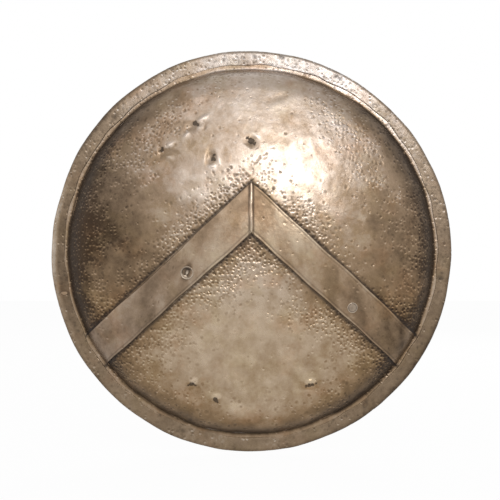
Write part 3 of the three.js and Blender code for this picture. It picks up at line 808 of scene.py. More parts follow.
# %% The bronze finish
def bronze(name, worn, brown, dark, shine, grain, peened, holes):
    finish = Finish(name)
    clouds = finish.noise(9.0, 5.0, 0.55)
    blots = finish.noise(38.0, 4.0, 0.6)
    flecks = finish.noise(120.0, 4.0, 0.6)
    specks = finish.noise(420.0, 3.0, 0.65)
    # This mark holds painted shade as well as dirt.
    dirt = finish.mark("dirt")
    relief = (specks * 0.15 + flecks * 0.40 + blots * 0.50) * grain
    # The patina mark brings painted light and shade with it.
    tarnish_and_painted_light = finish.mark("patina") + (clouds - 0.5) * 0.34 + (blots - 0.5) * 0.36 + (flecks - 0.5) * 0.35
    tarnish_and_painted_light = tarnish_and_painted_light + (specks - 0.5) * 0.20
    if peened:
        hollow, wear_and_painted_highlight = peen_marks(finish)
        crowded = finish.mark("peened").between(0.3, 1.4)
        relief = relief - hollow * (crowded * 0.35 + 0.50)
        # Hollows darken as patina and painted shade, and the crescents under them are painted highlights.
        tarnish_and_painted_light = tarnish_and_painted_light + hollow * (crowded * 0.16 + 0.12) - wear_and_painted_highlight * (crowded * 0.10 + 0.46)
        dirt = (dirt + hollow * 0.06).clipped()
    if holes:
        torn = torn_holes(finish, holes)
        relief = relief - torn * 1.2
        dirt = (dirt + torn * 0.84).clipped()
    tarnish_and_painted_light = tarnish_and_painted_light.clipped()
    stops = [(0.0, worn), (0.45, brown), (1.0, dark)]
    colour = finish.node("ValToRGB", {"stops": stops}, tarnish_and_painted_light)
    warm = finish.noise(14.0, 4.0, 0.6, at=shifted(finish, 3.1)).between(0.50, 0.72)
    green = finish.noise(17.0, 4.0, 0.6, at=shifted(finish, 7.7)).between(0.45, 0.70)
    colour = finish.blend(colour, (1.0, 0.84, 0.72), warm * 0.50, "MULTIPLY")
    colour = finish.blend(colour, (0.96, 0.95, 0.80), green * 0.45, "MULTIPLY")
    if peened:
        tint = finish.blend((0.97, 1.03, 1.18), (1.0, 0.95, 0.845), finish.mark("warmth"))
        colour = finish.blend(colour, tint, 1.0, "MULTIPLY")
    # Near black, for dirt and for painted shade.
    colour = finish.blend(colour, (0.022, 0.014, 0.010), dirt * 0.85)
    roughness = tarnish_and_painted_light * 0.20 + dirt * 0.22 + (blots - 0.5) * 0.20 + shine
    metal = 0.95 - dirt * 0.35 - tarnish_and_painted_light * 0.12
    normal = finish.bumped(relief, MM)
    wax = {"Coat_Weight": (0.75 - tarnish_and_painted_light * 1.2 - dirt * 0.9).clipped(), "Coat_Roughness": 0.2}
    return finish.done(Base_Color=colour, Metallic=metal, Roughness=roughness, Normal=normal, **wax)


# Worn colour, which also serves painted highlights, brown colour, dark colour, which also serves painted
# shade, shine, grain, and whether small hammer marks are drawn.
BRONZES = {
    "facing_bronze": ((0.50, 0.405, 0.318), (0.272, 0.187, 0.114), (0.052, 0.032, 0.018), 0.27, 1.0, True),
    "rim_bronze": ((0.515, 0.450, 0.380), (0.262, 0.190, 0.124), (0.055, 0.034, 0.020), 0.32, 1.0, True),
    "band_bronze": ((0.48, 0.385, 0.285), (0.280, 0.196, 0.126), (0.055, 0.034, 0.019), 0.29, 1.0, True),
    "rivet_bronze": ((0.50, 0.41, 0.32), (0.235, 0.178, 0.128), (0.045, 0.030, 0.020), 0.30, 0.8, False),
    "fitting_bronze": ((0.50, 0.36, 0.20), (0.270, 0.175, 0.095), (0.060, 0.036, 0.022), 0.30, 0.8, False),
    "nail_bronze": ((0.56, 0.42, 0.25), (0.300, 0.200, 0.110), (0.060, 0.038, 0.024), 0.26, 0.6, False),
    "ring_bronze": ((0.52, 0.38, 0.21), (0.280, 0.182, 0.098), (0.062, 0.038, 0.024), 0.27, 0.5, False),
}
facing_bronze, rim_bronze, band_bronze, rivet_bronze, fitting_bronze, nail_bronze, ring_bronze = (
    bronze(name, *values, holes=TORN_HOLES if name == "facing_bronze" else ())
    for name, values in BRONZES.items()
)
print("bronzes:", len(BRONZES))

# %% [markdown]
# ## The facing
#
# A bronze sheet less than a millimetre thick covers the whole front. A plain disc of quads would bunch
# its points up in the middle, so the mesh is built in rings that each have six points more than the one
# before. That keeps every triangle the same size, about two and a half millimetres, which is enough for
# the pits. The hidden back of the sheet needs few points, but it has to stay behind the deepest dent
# near it, so it takes the lowest height around each of its points.

# %% Rings of points
def turns(count):
    """Angles that are evenly spaced once round."""
    return 2 * np.pi * np.arange(count) / count


def zip_lines(first, second):
    """Triangles between two rows of corners that run the same way and have different numbers of corners."""
    faces, i, j = [], 0, 0
    first_steps, second_steps = len(first) - 1, len(second) - 1
    while i < first_steps or j < second_steps:
        behind = i == first_steps or (j + 1) * first_steps <= (i + 1) * second_steps
        if j < second_steps and behind:
            faces.append((first[i], second[j], second[j + 1]))
            j += 1
        else:
            faces.append((first[i], second[j], first[i + 1]))
            i += 1
    return np.array([face for face in faces if len(set(face)) == 3])


def disc(lengths, counts):
    """A disc of rings round a middle point. Gives lengths, bearings, faces and the last ring's corners."""
    starts = np.cumsum([1, *counts])
    rings = [[*range(start, start + count), start] for start, count in zip(starts, counts)]
    faces = [fan_faces(0, rings[0][:-1])]
    faces += [zip_lines(inner, outer) for inner, outer in zip(rings, rings[1:])]
    length = np.concatenate([[0.0], np.repeat(lengths, counts)])
    bearing = np.concatenate([[0.0], *[turns(count) for count in counts]])
    return length, bearing, np.concatenate(faces), np.array(rings[-1][:-1])


def even_disc(end, rings, edge_count):
    """A disc of evenly spaced rings, each with six points more than the one before, up to its edge."""
    return disc(np.linspace(end / rings, end, rings), [*range(6, 6 * rings, 6), edge_count])


def two_skins(seen, hidden, front):
    """A thin sheet as (points, faces). Each skin is (points, faces, edge), and a wall joins the edges."""
    (seen_points, seen_faces, seen_edge), (hidden_points, hidden_faces, hidden_edge) = seen, hidden
    way = -1 if front else 1
    points, faces = joined((seen_points, [seen_faces[:, ::way]]), (hidden_points, [hidden_faces[:, ::-way]]))
    hidden_edge = hidden_edge + len(seen_points)
    wall = [seen_edge, np.roll(seen_edge, -1), np.roll(hidden_edge, -1), hidden_edge]
    wall = wall if front else [wall[0], *wall[:0:-1]]
    return points, [*faces, np.stack(wall, axis=-1)]


print("a disc of ten rings has", len(even_disc(100, 10, 60)[0]), "points")

# %% Beaten points
POINT_SPACING = 2.43
HIDDEN_SPACING = 11
SHEET_THICKNESS = 0.7
UNDER_BINDING = 446  # along the line, from where the binding hides the facing
HIDDEN_RING = 455.0  # along the line, one coarser ring before the last
DENT_REACH = 12  # a point of the hidden back stays behind every dent this near, in millimetres


def wobble(bearing, seed, waves, size):
    """A smooth uneven edge all the way round, with a spread of about the size."""
    random = np.random.default_rng(seed)
    total = np.zeros_like(bearing)
    for wave in waves:
        total += random.normal() * np.cos(wave * bearing + random.random() * 2 * np.pi)
    return size * total / np.sqrt(len(waves) / 2)


def beaten(length, bearing, heights, thickness=0.0):
    """Points of the facing, with its height marks and its uneven mouth."""
    height = facing_sheet.read(length * np.sin(bearing), length * np.cos(bearing), heights)
    radius, depth = bowl.along(length, height - thickness)
    near_mouth = step(radius, 372, 396) * (1 - step(radius, 403, 424))
    radius = radius + near_mouth * wobble(bearing, 5, (5, 9, 14, 23, 31), 0.8)
    return around_axis(radius, depth, bearing)


def lowest_near(heights, reach):
    """The lowest height within reach, in both directions."""
    low = heights.copy()
    for axis in (0, 1):
        source = low.copy()
        for shift in range(-reach, reach + 1, 2):
            low = np.minimum(low, np.roll(source, shift, axis))
    return low


print("rings of fine points:", round(UNDER_BINDING / POINT_SPACING))

# %% How dark and dirty the facing is
def near_bearing(bearing, middle, spread):
    """A bell round a bearing that is given in degrees from straight up."""
    return bell((np.degrees(bearing) - middle + 180) % 360, 180, spread)


# The patina of the facing's flat rim with painted light and shade, palest at 45 degrees, by its bearing in
# degrees from straight up.
FLANGE_BEARINGS = [0, 45, 90, 135, 180, 225, 270, 315]
FLANGE_PAINTED_TONES = [0.45, 0.03, 0.28, 0.44, 0.46, 0.39, 0.34, 0.34]


def facing_patina_and_painted_light():
    """The patina on the flattened sheet with painted light and shade laid over it, from 0, pale, to 1, black.
    """
    outside, inside = above_v(front_x, front_z), below_v(front_x, front_z)
    # Painted shade in the V's inner corner and beside the bands' edges.
    inner_corner = patch(front_x, front_z, (0, 30), (55, 38)) * (inside > 0)
    beside = np.where(outside > 0, bell(outside, 0, 11), 0) + np.where(inside > 0, bell(inside, 0, 24), 0)
    # Painted shade: darker towards the left and right sides, most on the left.
    left = step(-front_x, 140, 320) * bell(front_z, 30, 180)
    right = step(front_x, 150, 330) * bell(front_z, -20, 220)
    # Painted light: paler over the low field inside the V.
    low_field = patch(front_x, front_z, (0, -150), (150, 170)) * (inside > 0)
    # Painted highlight: paler round the bright patch high on the dome.
    worn = patch(front_x, front_z, (30, 190), (170, 110))
    # Painted light: paler at the top, which is also spared the painted shade of the shoulder and wall.
    crown = bell(front_x, 10, 190) * step(front_z, 250, 330)
    foot_field = bell(front_x, 0, 150) * step(-front_z, 200, 330)
    # Painted shade over the shoulder and down the wall, darkest at the wall's foot and less at the bottom.
    shoulder = step(flat_length, 300, 385) * (1 - 0.9 * crown - 0.5 * foot_field)
    wall = step(flat_length, SHOULDER_END - 85, SHOULDER_END - 40) * (1 - 1.25 * crown)
    foot = step(flat_length, SHOULDER_END - 40, SHOULDER_END)
    flange = step(flat_length, SHOULDER_END + 6, SHOULDER_END + 12)
    tone = 0.32 + 0.45 * left + 0.31 * right - 0.21 * low_field - 0.15 * worn
    tone = tone + 0.26 * beside - 0.13 * crown + 0.20 * inner_corner
    tone = tone + 0.16 * shoulder + wall * (0.20 + 0.28 * foot)
    relief = facing_sheet.height - raised
    # Painted highlight on raised creases and swellings, painted shade in the dents, and a painted sheen on
    # the raised waves.
    tone = tone - 0.42 * np.clip(relief, -0.25, 2.2) - 0.06 * np.clip(raising, -1.5, 1.5)
    # Painted light at the upper right of the dome.
    tone = tone - 0.10 * patch(front_x, front_z, (200, 285), (80, 80))
    # The flat rim's patina with painted light and shade, by bearing.
    rim = np.interp(np.degrees(np.arctan2(front_x, front_z)), FLANGE_BEARINGS, FLANGE_PAINTED_TONES, period=360)
    # Paler towards the rim at the lower left.
    low_left = step(-front_x, 60, 200) * step(-front_z, 120, 240)
    tone = tone - 0.16 * low_left * step(flat_length, 300, 400)
    return np.clip(tone * (1 - flange) + flange * rim, 0, 1.05)


def facing_dirt_and_painted_shade():
    """Dirt and painted shade in the pits, and painted shade along the V's edges and down the wall to its
    foot, except at the top.
    """
    outside, inside = above_v(front_x, front_z), below_v(front_x, front_z)
    # Painted shade where the bands' edges lie on the facing.
    contact_shade = bell(outside, 1, 3.4) + bell(inside, 1.5, 4.4)
    crown = bell(front_x, 10, 190) * (front_z > 0)
    near_v = bell(front_x, 0, 130) * bell(front_z, 110, 150)
    # Painted shade on the wall, kept off the top.
    wall = step(flat_length, SHOULDER_END - 70, SHOULDER_END - 8) * step(SHOULDER_END + 9 - flat_length, 0, 6)
    # The pits darken as dirt and painted shade, more so near the V.
    dirt = (0.18 + 0.42 * near_v) * facing_sheet.pits + 0.85 * contact_shade + 0.42 * wall * (1 - 0.97 * crown)
    return np.clip(dirt, 0, 1)


def rim_painted_light(bearing):
    """The rim's painted light and shade all the way round: pale at the top, dark at both sides."""
    sides = 0.24 * near_bearing(bearing, 268, 34) + 0.16 * near_bearing(bearing, 115, 45)
    return 0.50 - 0.26 * near_bearing(bearing, 14, 46) + sides


def warmth(x, z, flange):
    """The bronze's hue, from 0, greyish, on the upper dome and the top of the rim, to 1, golden, at the foot.
    """
    rim = 0.62 - 0.62 * near_bearing(np.arctan2(x, z), 18, 62)
    dome = 0.62 - 0.38 * step(z, -20, 200) + 0.38 * step(-z, 0, 170)
    dome = dome - 0.2 * patch(x, z, (200, 285), (80, 80))
    return np.clip(dome * (1 - flange) + rim * flange, 0, 1)


print("flange tones:", min(FLANGE_PAINTED_TONES), "to", max(FLANGE_PAINTED_TONES))

# %% The facing's mesh
def make_facing():
    fine = int(round(UNDER_BINDING / POINT_SPACING))
    lengths = [*(np.arange(1, fine + 1) * POINT_SPACING), HIDDEN_RING, LINE_END]
    counts = [*range(6, 6 * fine + 1, 6), 3 * fine, 3 * fine]
    length, bearing, *seen = disc(lengths, counts)
    seen = beaten(length, bearing, facing_sheet.height), *seen
    back_length, back_bearing, *hidden = even_disc(LINE_END, int(LINE_END / HIDDEN_SPACING), counts[-1])
    lowest = lowest_near(facing_sheet.height, DENT_REACH)
    hidden = beaten(back_length, back_bearing, lowest, SHEET_THICKNESS), *hidden
    points, faces = two_skins(seen, hidden, front=True)
    flat = (length * np.sin(bearing), length * np.cos(bearing))
    fields = {
        "patina": facing_patina_and_painted_light(),
        "dirt": facing_dirt_and_painted_shade(),
        "peened": 1.05 * pit_density(),
        "warmth": warmth(front_x, front_z, step(flat_length, SHOULDER_END, SHOULDER_END + 10)),
    }
    marks = {key: facing_sheet.read(*flat, field) for key, field in fields.items()}
    marks |= {"flat_x": flat[0] * MM, "flat_z": flat[1] * MM}
    make_piece("beaten_facing", points, faces, facing_bronze, ["bronze_facing"], marks=marks)


make_facing()

# %% [markdown]
# ## The rim binding
#
# A strip of the same bronze is folded round the rim and beaten tight. Its outline is a circle only by
# intention: it was hammered by hand, and in the photograph it runs a few millimetres out of true.
# The mesh is one long tube. Its section goes over the front, round the edge and along the back, and
# returns just inside, and each point of it is pushed in or out by a marked sheet that joins end to end.

# %% Press the binding's marks
RIM_MIDDLE = 6.5  # depth of the middle of the edge, and the edge's radius
RIM_TURN = SHIELD_RADIUS - RIM_MIDDLE
BINDING_FRONT, BINDING_BACK = 409, 404
AROUND = 424  # millimetres of sheet to a radian
BINDING_COUNT = 1100  # points all the way round
BINDING_THICKNESS = 0.75
BACK_STARTS = 56  # millimetres of sheet from the front edge to where the rim's back starts

rim_sheet = Sheet(0, int(2 * np.pi * AROUND), 0, 84, seed=8, wraps=True)
to_top = near_bearing(np.arange(rim_sheet.shape[1]) / AROUND, 0, 62)
rim_density = (0.12 + 0.34 * to_top) * np.clip(1 + 0.6 * rim_sheet.waves(60), 0.1, 2.2)
rim_density[BACK_STARTS:] *= 0.35
print("rim pits:", rim_sheet.scatter(9000, rim_density, (1.8, 3.9), (0.22, 0.62), stretch=1.9))

RIM_MARKS = [
    (-33.0, 415.8, 6.2, 6.2, 0, -0.9, "ring"),
    (272.6, 317.9, 6.0, 6.0, 0, -0.9, "ring"),
    (65.9, 428.6, 7, 5, 0, -1.3, "dent"),
    (187.9, 385.7, 5, 3, 40, -1.0, "dent"),
    (196.0, 379.0, 4, 2.5, 10, -0.8, "dent"),
    (8.0, 426.1, 2.6, 2.6, 0, -0.9, "dent"),
    (5.6, 415.0, 2.4, 2.4, 0, -0.8, "dent"),
    (-61.1, 417.8, 2.8, 2.4, 0, -0.9, "dent"),
    (-411.0, -92.0, 9, 4, 70, -0.8, "dent"),
    (-300.0, 296.0, 8, 4, 20, -0.7, "dent"),
    (250.0, -337.0, 10, 5, 30, -0.8, "dent"),
    (-150.0, -394.0, 8, 4, 0, -0.7, "dent"),
    (416.0, -60.0, 5, 9, 0, -0.7, "dent"),
]
for x, z, long, wide, turn, height, kind in RIM_MARKS:
    place = np.arctan2(x, z) % (2 * np.pi) * AROUND, np.hypot(x, z) - BINDING_FRONT
    rim_sheet.press(*place, long, wide, np.radians(turn), height, kind)
rim_sheet.add_waves((0.30, 70), (0.16, 24), (0.09, 9))

# %% The binding's mesh
# The bearing of each place where the outline runs out of true, how far, and half its spread, in degrees.
OUT_OF_TRUE = [(342, 3.0, 13), (288, -3.0, 15), (42, -2.3, 20), (200, 1.0, 20), (120, 0.9, 18)]


def outline_shift(bearing):
    shift = wobble(bearing, 12, (7, 12, 19, 29), 0.35)
    for middle, size, spread in OUT_OF_TRUE:
        shift = shift + size * near_bearing(bearing, middle, spread)
    return shift


def binding_line():
    """Radius, depth and outward direction along the binding's outside, about 2.4 mm apart."""
    top = 2 * RIM_MIDDLE
    rows = [(BINDING_FRONT, RIM_FACE + 0.15, -1, 0), (BINDING_FRONT + 0.25, top - 0.35, -0.7, 0.7)]
    rows += [(radius, top, 0, 1) for radius in np.linspace(BINDING_FRONT + 1.2, RIM_TURN, 11)]
    edge = arc((RIM_TURN, RIM_MIDDLE), RIM_MIDDLE, np.linspace(0, np.pi, 9)[1:-1])
    rows += [(radius, depth, np.sin(angle), np.cos(angle)) for radius, depth, angle in edge]
    rows += [(radius, 0, 0, -1) for radius in np.linspace(RIM_TURN, BINDING_BACK + 1.0, 9)]
    rows += [(BINDING_BACK, 0.35, -0.7, -0.7)]
    return np.array(rows)


def make_binding():
    outside = binding_line()
    last = len(outside) - 1
    inside = np.array([row for i, row in enumerate(outside[::-1]) if i % 3 == 0 or i == last])
    inside[:, :2] -= BINDING_THICKNESS * inside[:, 2:]
    rows = np.concatenate([outside, inside])
    bearing = turns(BINDING_COUNT)
    shift = outline_shift(bearing)
    front_edge = wobble(bearing, 3, (6, 11, 17, 26, 41, 60), 1.0)
    back_edge = wobble(bearing, 4, (5, 13, 21, 34, 55), 1.1)
    radius, depth = rows[:, :1], rows[:, 1:2]
    to_edge = step(radius, BINDING_FRONT, RIM_TURN)
    edge_wave = np.where(depth > RIM_MIDDLE, front_edge, back_edge)
    radius = radius + to_edge * shift + (1 - to_edge) * edge_wave
    across = travelled(outside[:, :2])[:, None]
    height, dirt = np.full((len(rows), BINDING_COUNT), -0.35), np.zeros((len(rows), BINDING_COUNT))
    height[: len(outside)] = rim_sheet.read(bearing * AROUND + 0 * across, across + 0 * bearing)
    dirt[: len(outside)] = rim_sheet.read(bearing * AROUND + 0 * across, across + 0 * bearing, rim_sheet.pits)
    height[:3] *= np.array([[0.2], [0.4], [0.8]])
    radius = radius + height * rows[:, 2:3]
    depth = depth + height * rows[:, 3:4]
    points = around_axis(radius, depth, bearing)
    # The patina across the strip, with painted shade darkest just past the outermost turn of the edge, where
    # it turns away.
    tones = [0.46, 0.40, 0.40, 0.50, 0.74, 0.62, 0.5]
    at_edge = np.interp(np.arange(len(rows)), [0, 2, 11, 13, 17, 20, 31], tones)
    # Painted highlight on the left side of the rolled edge, and painted shade on the edge at the upper left
    # and lower right.
    left_side = bell(np.degrees(bearing), 270, 23)
    on_edge = np.interp(np.arange(len(rows)), [8, 12, 18, 20], [0, 1, 1, 0])[:, None]
    patina = at_edge[:, None] - 0.42 + rim_painted_light(bearing) - 0.55 * left_side * on_edge + 0 * dirt
    patina += on_edge * (0.2 * near_bearing(bearing, 315, 20) + 0.15 * near_bearing(bearing, 135, 30))
    faces = grid_faces(len(rows), BINDING_COUNT, closed=True, ring=True)
    peened = 0.10 + 0.22 * near_bearing(bearing, 0, 70) + 0 * dirt
    marks = {"patina": patina, "dirt": 0.7 * dirt, "peened": peened}
    marks |= {"flat_x": points[..., 0] * MM, "flat_z": points[..., 2] * MM}
    marks["warmth"] = warmth(points[..., 0], points[..., 2], 1.0)
    make_piece("folded_binding", points, [faces], rim_bronze, ["rim_binding"], marks=marks)


make_binding()
print("binding out of true by up to", max(abs(size) for _, size, _ in OUT_OF_TRUE), "mm")

# %% [markdown]
# ## The V of two bands
#
# Two plain bronze bands cross the front and meet in a mitre. They lie on the dome, go over the shoulder
# and end at the foot of the wall, so a flat strip would cut into the dome and hang off the shoulder.
# Each band is drawn as a fan of straight lines in the front view, from the mitre to the rim, and every
# point of a line is then dropped on the bowl. The spacing is evened out along the true surface, because
# the steep wall looks much shorter from the front than it is. The edges are rounded over, and a faint
# chiselled line runs beside three of them.

# %% The bands' marks
BAND_FOOT = 399.5  # radius where a band ends, on the bend between wall and rim
BAND_UNDER, BAND_FACE = -0.3, 2.8
RIVETS = {"left": (-133.5, -44.4), "right": (212.6, -118.2)}


def band_place(side, x, z):
    """How far along a band and across it a place of the front view is."""
    x = side * x
    across = (V_TIP - z - x * np.tan(OUTER_SLOPE)) * np.cos(OUTER_SLOPE)
    return x / np.cos(OUTER_SLOPE), across


band_sheets = {key: Sheet(-4, 560, -4, 90, seed) for key, seed in (("left", 21), ("right", 22))}
bevel_highlight_waves = {key: sheet.waves(34) for key, sheet in band_sheets.items()}
for key, sheet in band_sheets.items():
    density = np.clip(0.05 + 0.05 * sheet.waves(40), 0, 0.16)
    sheet.scatter(2500, density, radii=(1.2, 2.4), depths=(0.08, 0.3))
    sheet.add_waves((0.22, 45), (0.12, 16), (0.03, 6))
    sheet.pits += 0.12 * np.clip(sheet.waves(5) - 1.2, 0, 1)
band_sheets["left"].press(*band_place(-1, *RIVETS["left"]), 10.0, 10.0, 0, -2.9, "dent")
band_sheets["right"].press(*band_place(1, *RIVETS["right"]), 15.5, 15.5, 0, -0.5, "ring")
band_sheets["left"].press(215, 30, 26, 7, 0.1, -0.35, "wave")
band_sheets["right"].press(120, 52, 22, 9, 0.3, -0.35, "wave")
print("bands marked:", ", ".join(band_sheets))

# %% Lines across the bands
def band_lines(side, across, columns):
    """Front-view points of the lines at these shares across the band, evenly spaced on the surface."""
    share = across[:, None]
    slope = OUTER_SLOPE + (INNER_SLOPE - OUTER_SLOPE) * share
    start_z = V_TIP - V_DROP * share
    along, fall = np.cos(slope), -np.sin(slope)
    reach_to_foot = -start_z * fall + np.sqrt((start_z * fall) ** 2 - start_z**2 + BAND_FOOT**2)
    steps = np.linspace(0, 1, 400) * reach_to_foot
    x, z = 0.15 + steps * along, start_z + steps * fall
    way = np.linalg.norm(np.diff(bowl.on(x, z), axis=1), axis=-1)
    way = np.concatenate([np.zeros((len(across), 1)), np.cumsum(way, axis=1)], axis=1)
    even = np.linspace(0, 1, columns) * way[:, -1:]
    x = np.array([np.interp(even[i], way[i], x[i]) for i in range(len(across))])
    z = np.array([np.interp(even[i], way[i], z[i]) for i in range(len(across))])
    return side * x, z, even


print("the V's arms open by", round(180 - np.degrees(OUTER_SLOPE + INNER_SLOPE), 1), "degrees")

# %% The bands' meshes
# What differs between the bands. Bow is how far the outer edge is hammered in, groove how deep the line
# beside it is, and the rest are how dark, how strong the painted highlight on the bevels is, how much
# painted shade darkens the outer ends and how much less golden.
BANDS = {
    "left": {"side": -1, "bow": 3, "groove": 0, "tone": 0.45, "rub": 0.12, "outer": 0.10, "cool": 0.0014},
    "right": {"side": 1, "bow": 0, "groove": 0.6, "tone": 0.40, "rub": 0.28, "outer": 0.26, "cool": 0},
}
BAND_COLUMNS, BAND_TOP_ROWS, BAND_WIDTH = 300, 48, 80.0


def make_band(key, side, bow, groove, tone, rub, outer, cool):
    """A band as a closed strip. Its rows go across the top, down the far edge and back underneath."""
    sheet = band_sheets[key]
    bevel_at = np.array([0, 0, 0.5, 1.6, 3.2])
    bevel = np.array([0, 1.7, 2.3, 2.75, 3.0]) - 3.0
    top = np.linspace(5.0, BAND_WIDTH - 5.0, BAND_TOP_ROWS)
    under = np.linspace(BAND_WIDTH * 0.85, BAND_WIDTH * 0.15, 6)
    insets = np.concatenate([bevel_at, top, BAND_WIDTH - bevel_at[::-1], under])
    lift = np.concatenate([bevel, np.zeros(BAND_TOP_ROWS), bevel[::-1]])
    across = insets / BAND_WIDTH
    x, z, way = band_lines(side, across, BAND_COLUMNS)
    share = np.linspace(0, 1, BAND_COLUMNS)
    outer_edge = 0.9 * np.sin(share * 11 + side) + 0.6 * np.sin(share * 27) - bow * np.sin(np.pi * share)
    inner_edge = 0.9 * np.sin(share * 9 + 2 * side) + 0.5 * np.sin(share * 31)
    shift = step(share, 0, 0.06) * ((1 - across[:, None]) * outer_edge + across[:, None] * inner_edge)
    x, z = x + side * shift * np.sin(OUTER_SLOPE), z + shift * np.cos(OUTER_SLOPE)
    flat = flattened(x, z)
    inset = insets[:, None] + 0 * way
    height = sheet.read(way, inset)
    grooves = -0.8 * bell(inset - BAND_WIDTH, -5.5, 1.5) - groove * bell(inset, 6.0, 1.5)
    offset = np.full(height.shape, BAND_UNDER)
    offset[: len(lift)] = (BAND_FACE + height + grooves)[: len(lift)] + lift[:, None]
    offset[[0, len(lift) - 1]] = BAND_UNDER
    points = bowl.on(x, z, offset + facing_sheet.read(*flat, raised))
    faces = [grid_faces(len(insets), BAND_COLUMNS, ring=True, flip=side > 0)]
    first = np.arange(len(lift)) * BAND_COLUMNS
    last_row = [0, *(np.arange(len(insets) - 1, len(lift) - 2, -1) * BAND_COLUMNS)]
    cap = zip_lines(list(first), last_row)
    faces += [cap[:, ::side], cap[:, ::-side] + BAND_COLUMNS - 1]
    from_edge = np.minimum(inset, BAND_WIDTH - inset)
    edge_dirt_and_painted_shade = bell(np.clip(from_edge, 0, None), 0, 1.0)
    wear_and_painted_highlight = sheet.read(way, inset, np.clip(0.45 + 0.4 * bevel_highlight_waves[key], 0, 1))
    reach = np.hypot(x, z)
    # Painted shade along both edges, and a painted highlight on the bevels that comes and goes along the
    # band.
    patina = tone + 0.45 * edge_dirt_and_painted_shade - rub * wear_and_painted_highlight * bell(from_edge, 2.2, 1.6)
    # Painted light near the mitre, and a painted sheen: paler on raised spots, darker in hollows.
    patina = patina - 0.14 * (1 - step(reach, 40, 190)) - 0.5 * np.clip(height, -0.4, 0.4)
    # Painted shade towards the outer ends.
    patina = patina + outer * step(reach, 190, 330) + 0.12 * step(reach, 330, 385)
    dirt = np.clip(sheet.read(way, inset, sheet.pits) + 0.55 * edge_dirt_and_painted_shade + 0.5 * np.abs(grooves), 0, 1)
    # Painted shadow of the seam bead on the bands beside it.
    dirt = np.maximum(dirt, 0.75 * bell(np.abs(x), 4.0, 2.6))
    marks = {"patina": patina, "dirt": dirt, "peened": 0.03 + 0 * height, "warmth": 0.75 - cool * reach}
    marks |= {"flat_x": flat[0] * MM, "flat_z": flat[1] * MM}
    replaced = ["chevron_band_" + key]
    make_piece("bent_band_" + key, points, faces, band_bronze, replaced, marks=marks)


for key, values in BANDS.items():
    make_band(key, **values)

# %% [markdown]
# ## The seam and the rivets
#
# A slender bead covers the joint of the two bands. It is a tube with a flattened underside that comes to
# a point at both ends. The left band is held by a rivet whose dished head has lost its filling, and the
# right one by a rivet that was filed flush. Both are turned shapes, and the dished head is made a little
# uneven, higher at one side.

# %% The seam
def make_seam():
    stations, around = 64, 18
    share = np.linspace(0, 1, stations)[:, None]
    z = V_TIP - 2.0 - share * (V_DROP - 4.0)
    turn = turns(around)
    taper = np.clip(np.sin(np.pi * np.clip(share, 0.0005, 0.9995)), 0, 1) ** 0.22
    half_width = (3.5 + 0.35 * np.sin(share * 23) + 1.2 * share) * taper
    crest = (2.3 + 0.25 * np.sin(share * 17 + 1)) * taper
    x = half_width * np.cos(turn) + 0.5 * np.sin(share * 9)
    rise = np.where(np.sin(turn) > 0, np.abs(np.sin(turn)) ** 1.5, -0.35 * np.abs(np.sin(turn)))
    flat = flattened(x, z + 0 * x)
    offset = BAND_FACE - 0.1 + crest * rise + facing_sheet.read(*flat, raised)
    points = bowl.on(x, z + 0 * x, offset)
    last = (stations - 1) * around
    faces = [grid_faces(stations, around, closed=True)]
    faces.append(fan_faces(0, np.arange(1, around), flip=True)[:-1])
    faces.append(fan_faces(last, np.arange(last + 1, last + around))[:-1])
    # A painted highlight along the crest, and painted shade on the underside.
    crest_wear_and_highlight = np.clip(np.sin(turn), 0, 1) ** 4 * np.ones_like(x)
    underside = (np.sin(turn) < 0.15) * np.ones_like(x)
    marks = {"warmth": 0.5 + 0 * x, "patina": 0.55 - 0.55 * crest_wear_and_highlight, "dirt": 0.8 * underside}
    make_piece("mitre_bead", points, faces, band_bronze, ["mitre_seam"], marks=marks)


make_seam()

# %% Turned shapes
def unit(vectors):
    """Vectors in rows, each made 1 long."""
    return vectors / np.linalg.norm(vectors, axis=-1, keepdims=True)


def turned(profile, sides, place=(0, 0, 0), direction=(0, 1, 0), uneven=None):
    """A profile of (radius, height), from the axis at the bottom to the axis at the top, turned round."""
    profile = np.array(profile, float)
    turn = turns(sides)
    direction = unit(np.array(direction, float))
    aside = unit(np.cross(direction, (0.0, 0.0, 1.0) if abs(direction[2]) < 0.9 else (1.0, 0.0, 0.0)))
    other = np.cross(direction, aside)
    rim = profile[1:-1]
    height = rim[:, 1:2] + 0 * turn
    if uneven is not None:
        height = uneven(rim[:, :1], height, turn)
    ring = rim[:, :1, None] * (np.cos(turn)[:, None] * aside + np.sin(turn)[:, None] * other)
    ring = ring + height[..., None] * direction
    ends = profile[[0, -1], 1][:, None] * direction
    points = np.concatenate([ring.reshape(-1, 3), ends]) + np.array(place, float)
    return points, capped_rings(len(rim), sides)


print("a cone with twelve sides has", len(turned([(0, 0), (1, 0), (0, 1)], 12)[0]), "points")

# %% The two band rivets
TAIL = [(0, -12.6), (2.0, -12.5), (4.4, -11.9), (5.9, -10.8), (5.9, -10.0), (3, -9.9), (3, 0)]
DISHED = [(14.0, 0), (14.3, 2.9), (14.1, 4.0), (13.4, 4.8), (12.6, 5.0), (11.8, 4.5)]
DISHED += [(10.6, 3.2), (9.0, 1.9), (7.0, 1.0), (4.0, 0.5), (0, 0.9)]
FLUSH = [(11.0, 0), (11.1, 3.1), (10.6, 3.6), (9.6, 3.6), (8.9, 3.0)]
FLUSH += [(8.2, 3.4), (6.5, 3.7), (4.2, 3.5), (2.0, 3.7), (0, 3.6)]


def battered(radius, height, turn):
    """Higher at one side, as when a hammer has caught it."""
    near_lip = step(radius, 8, 11)
    return height + near_lip * (height > 2) * (0.7 * np.cos(turn - 0.8) + 0.3 * np.cos(3 * turn))


RIVET_SIDES = 40


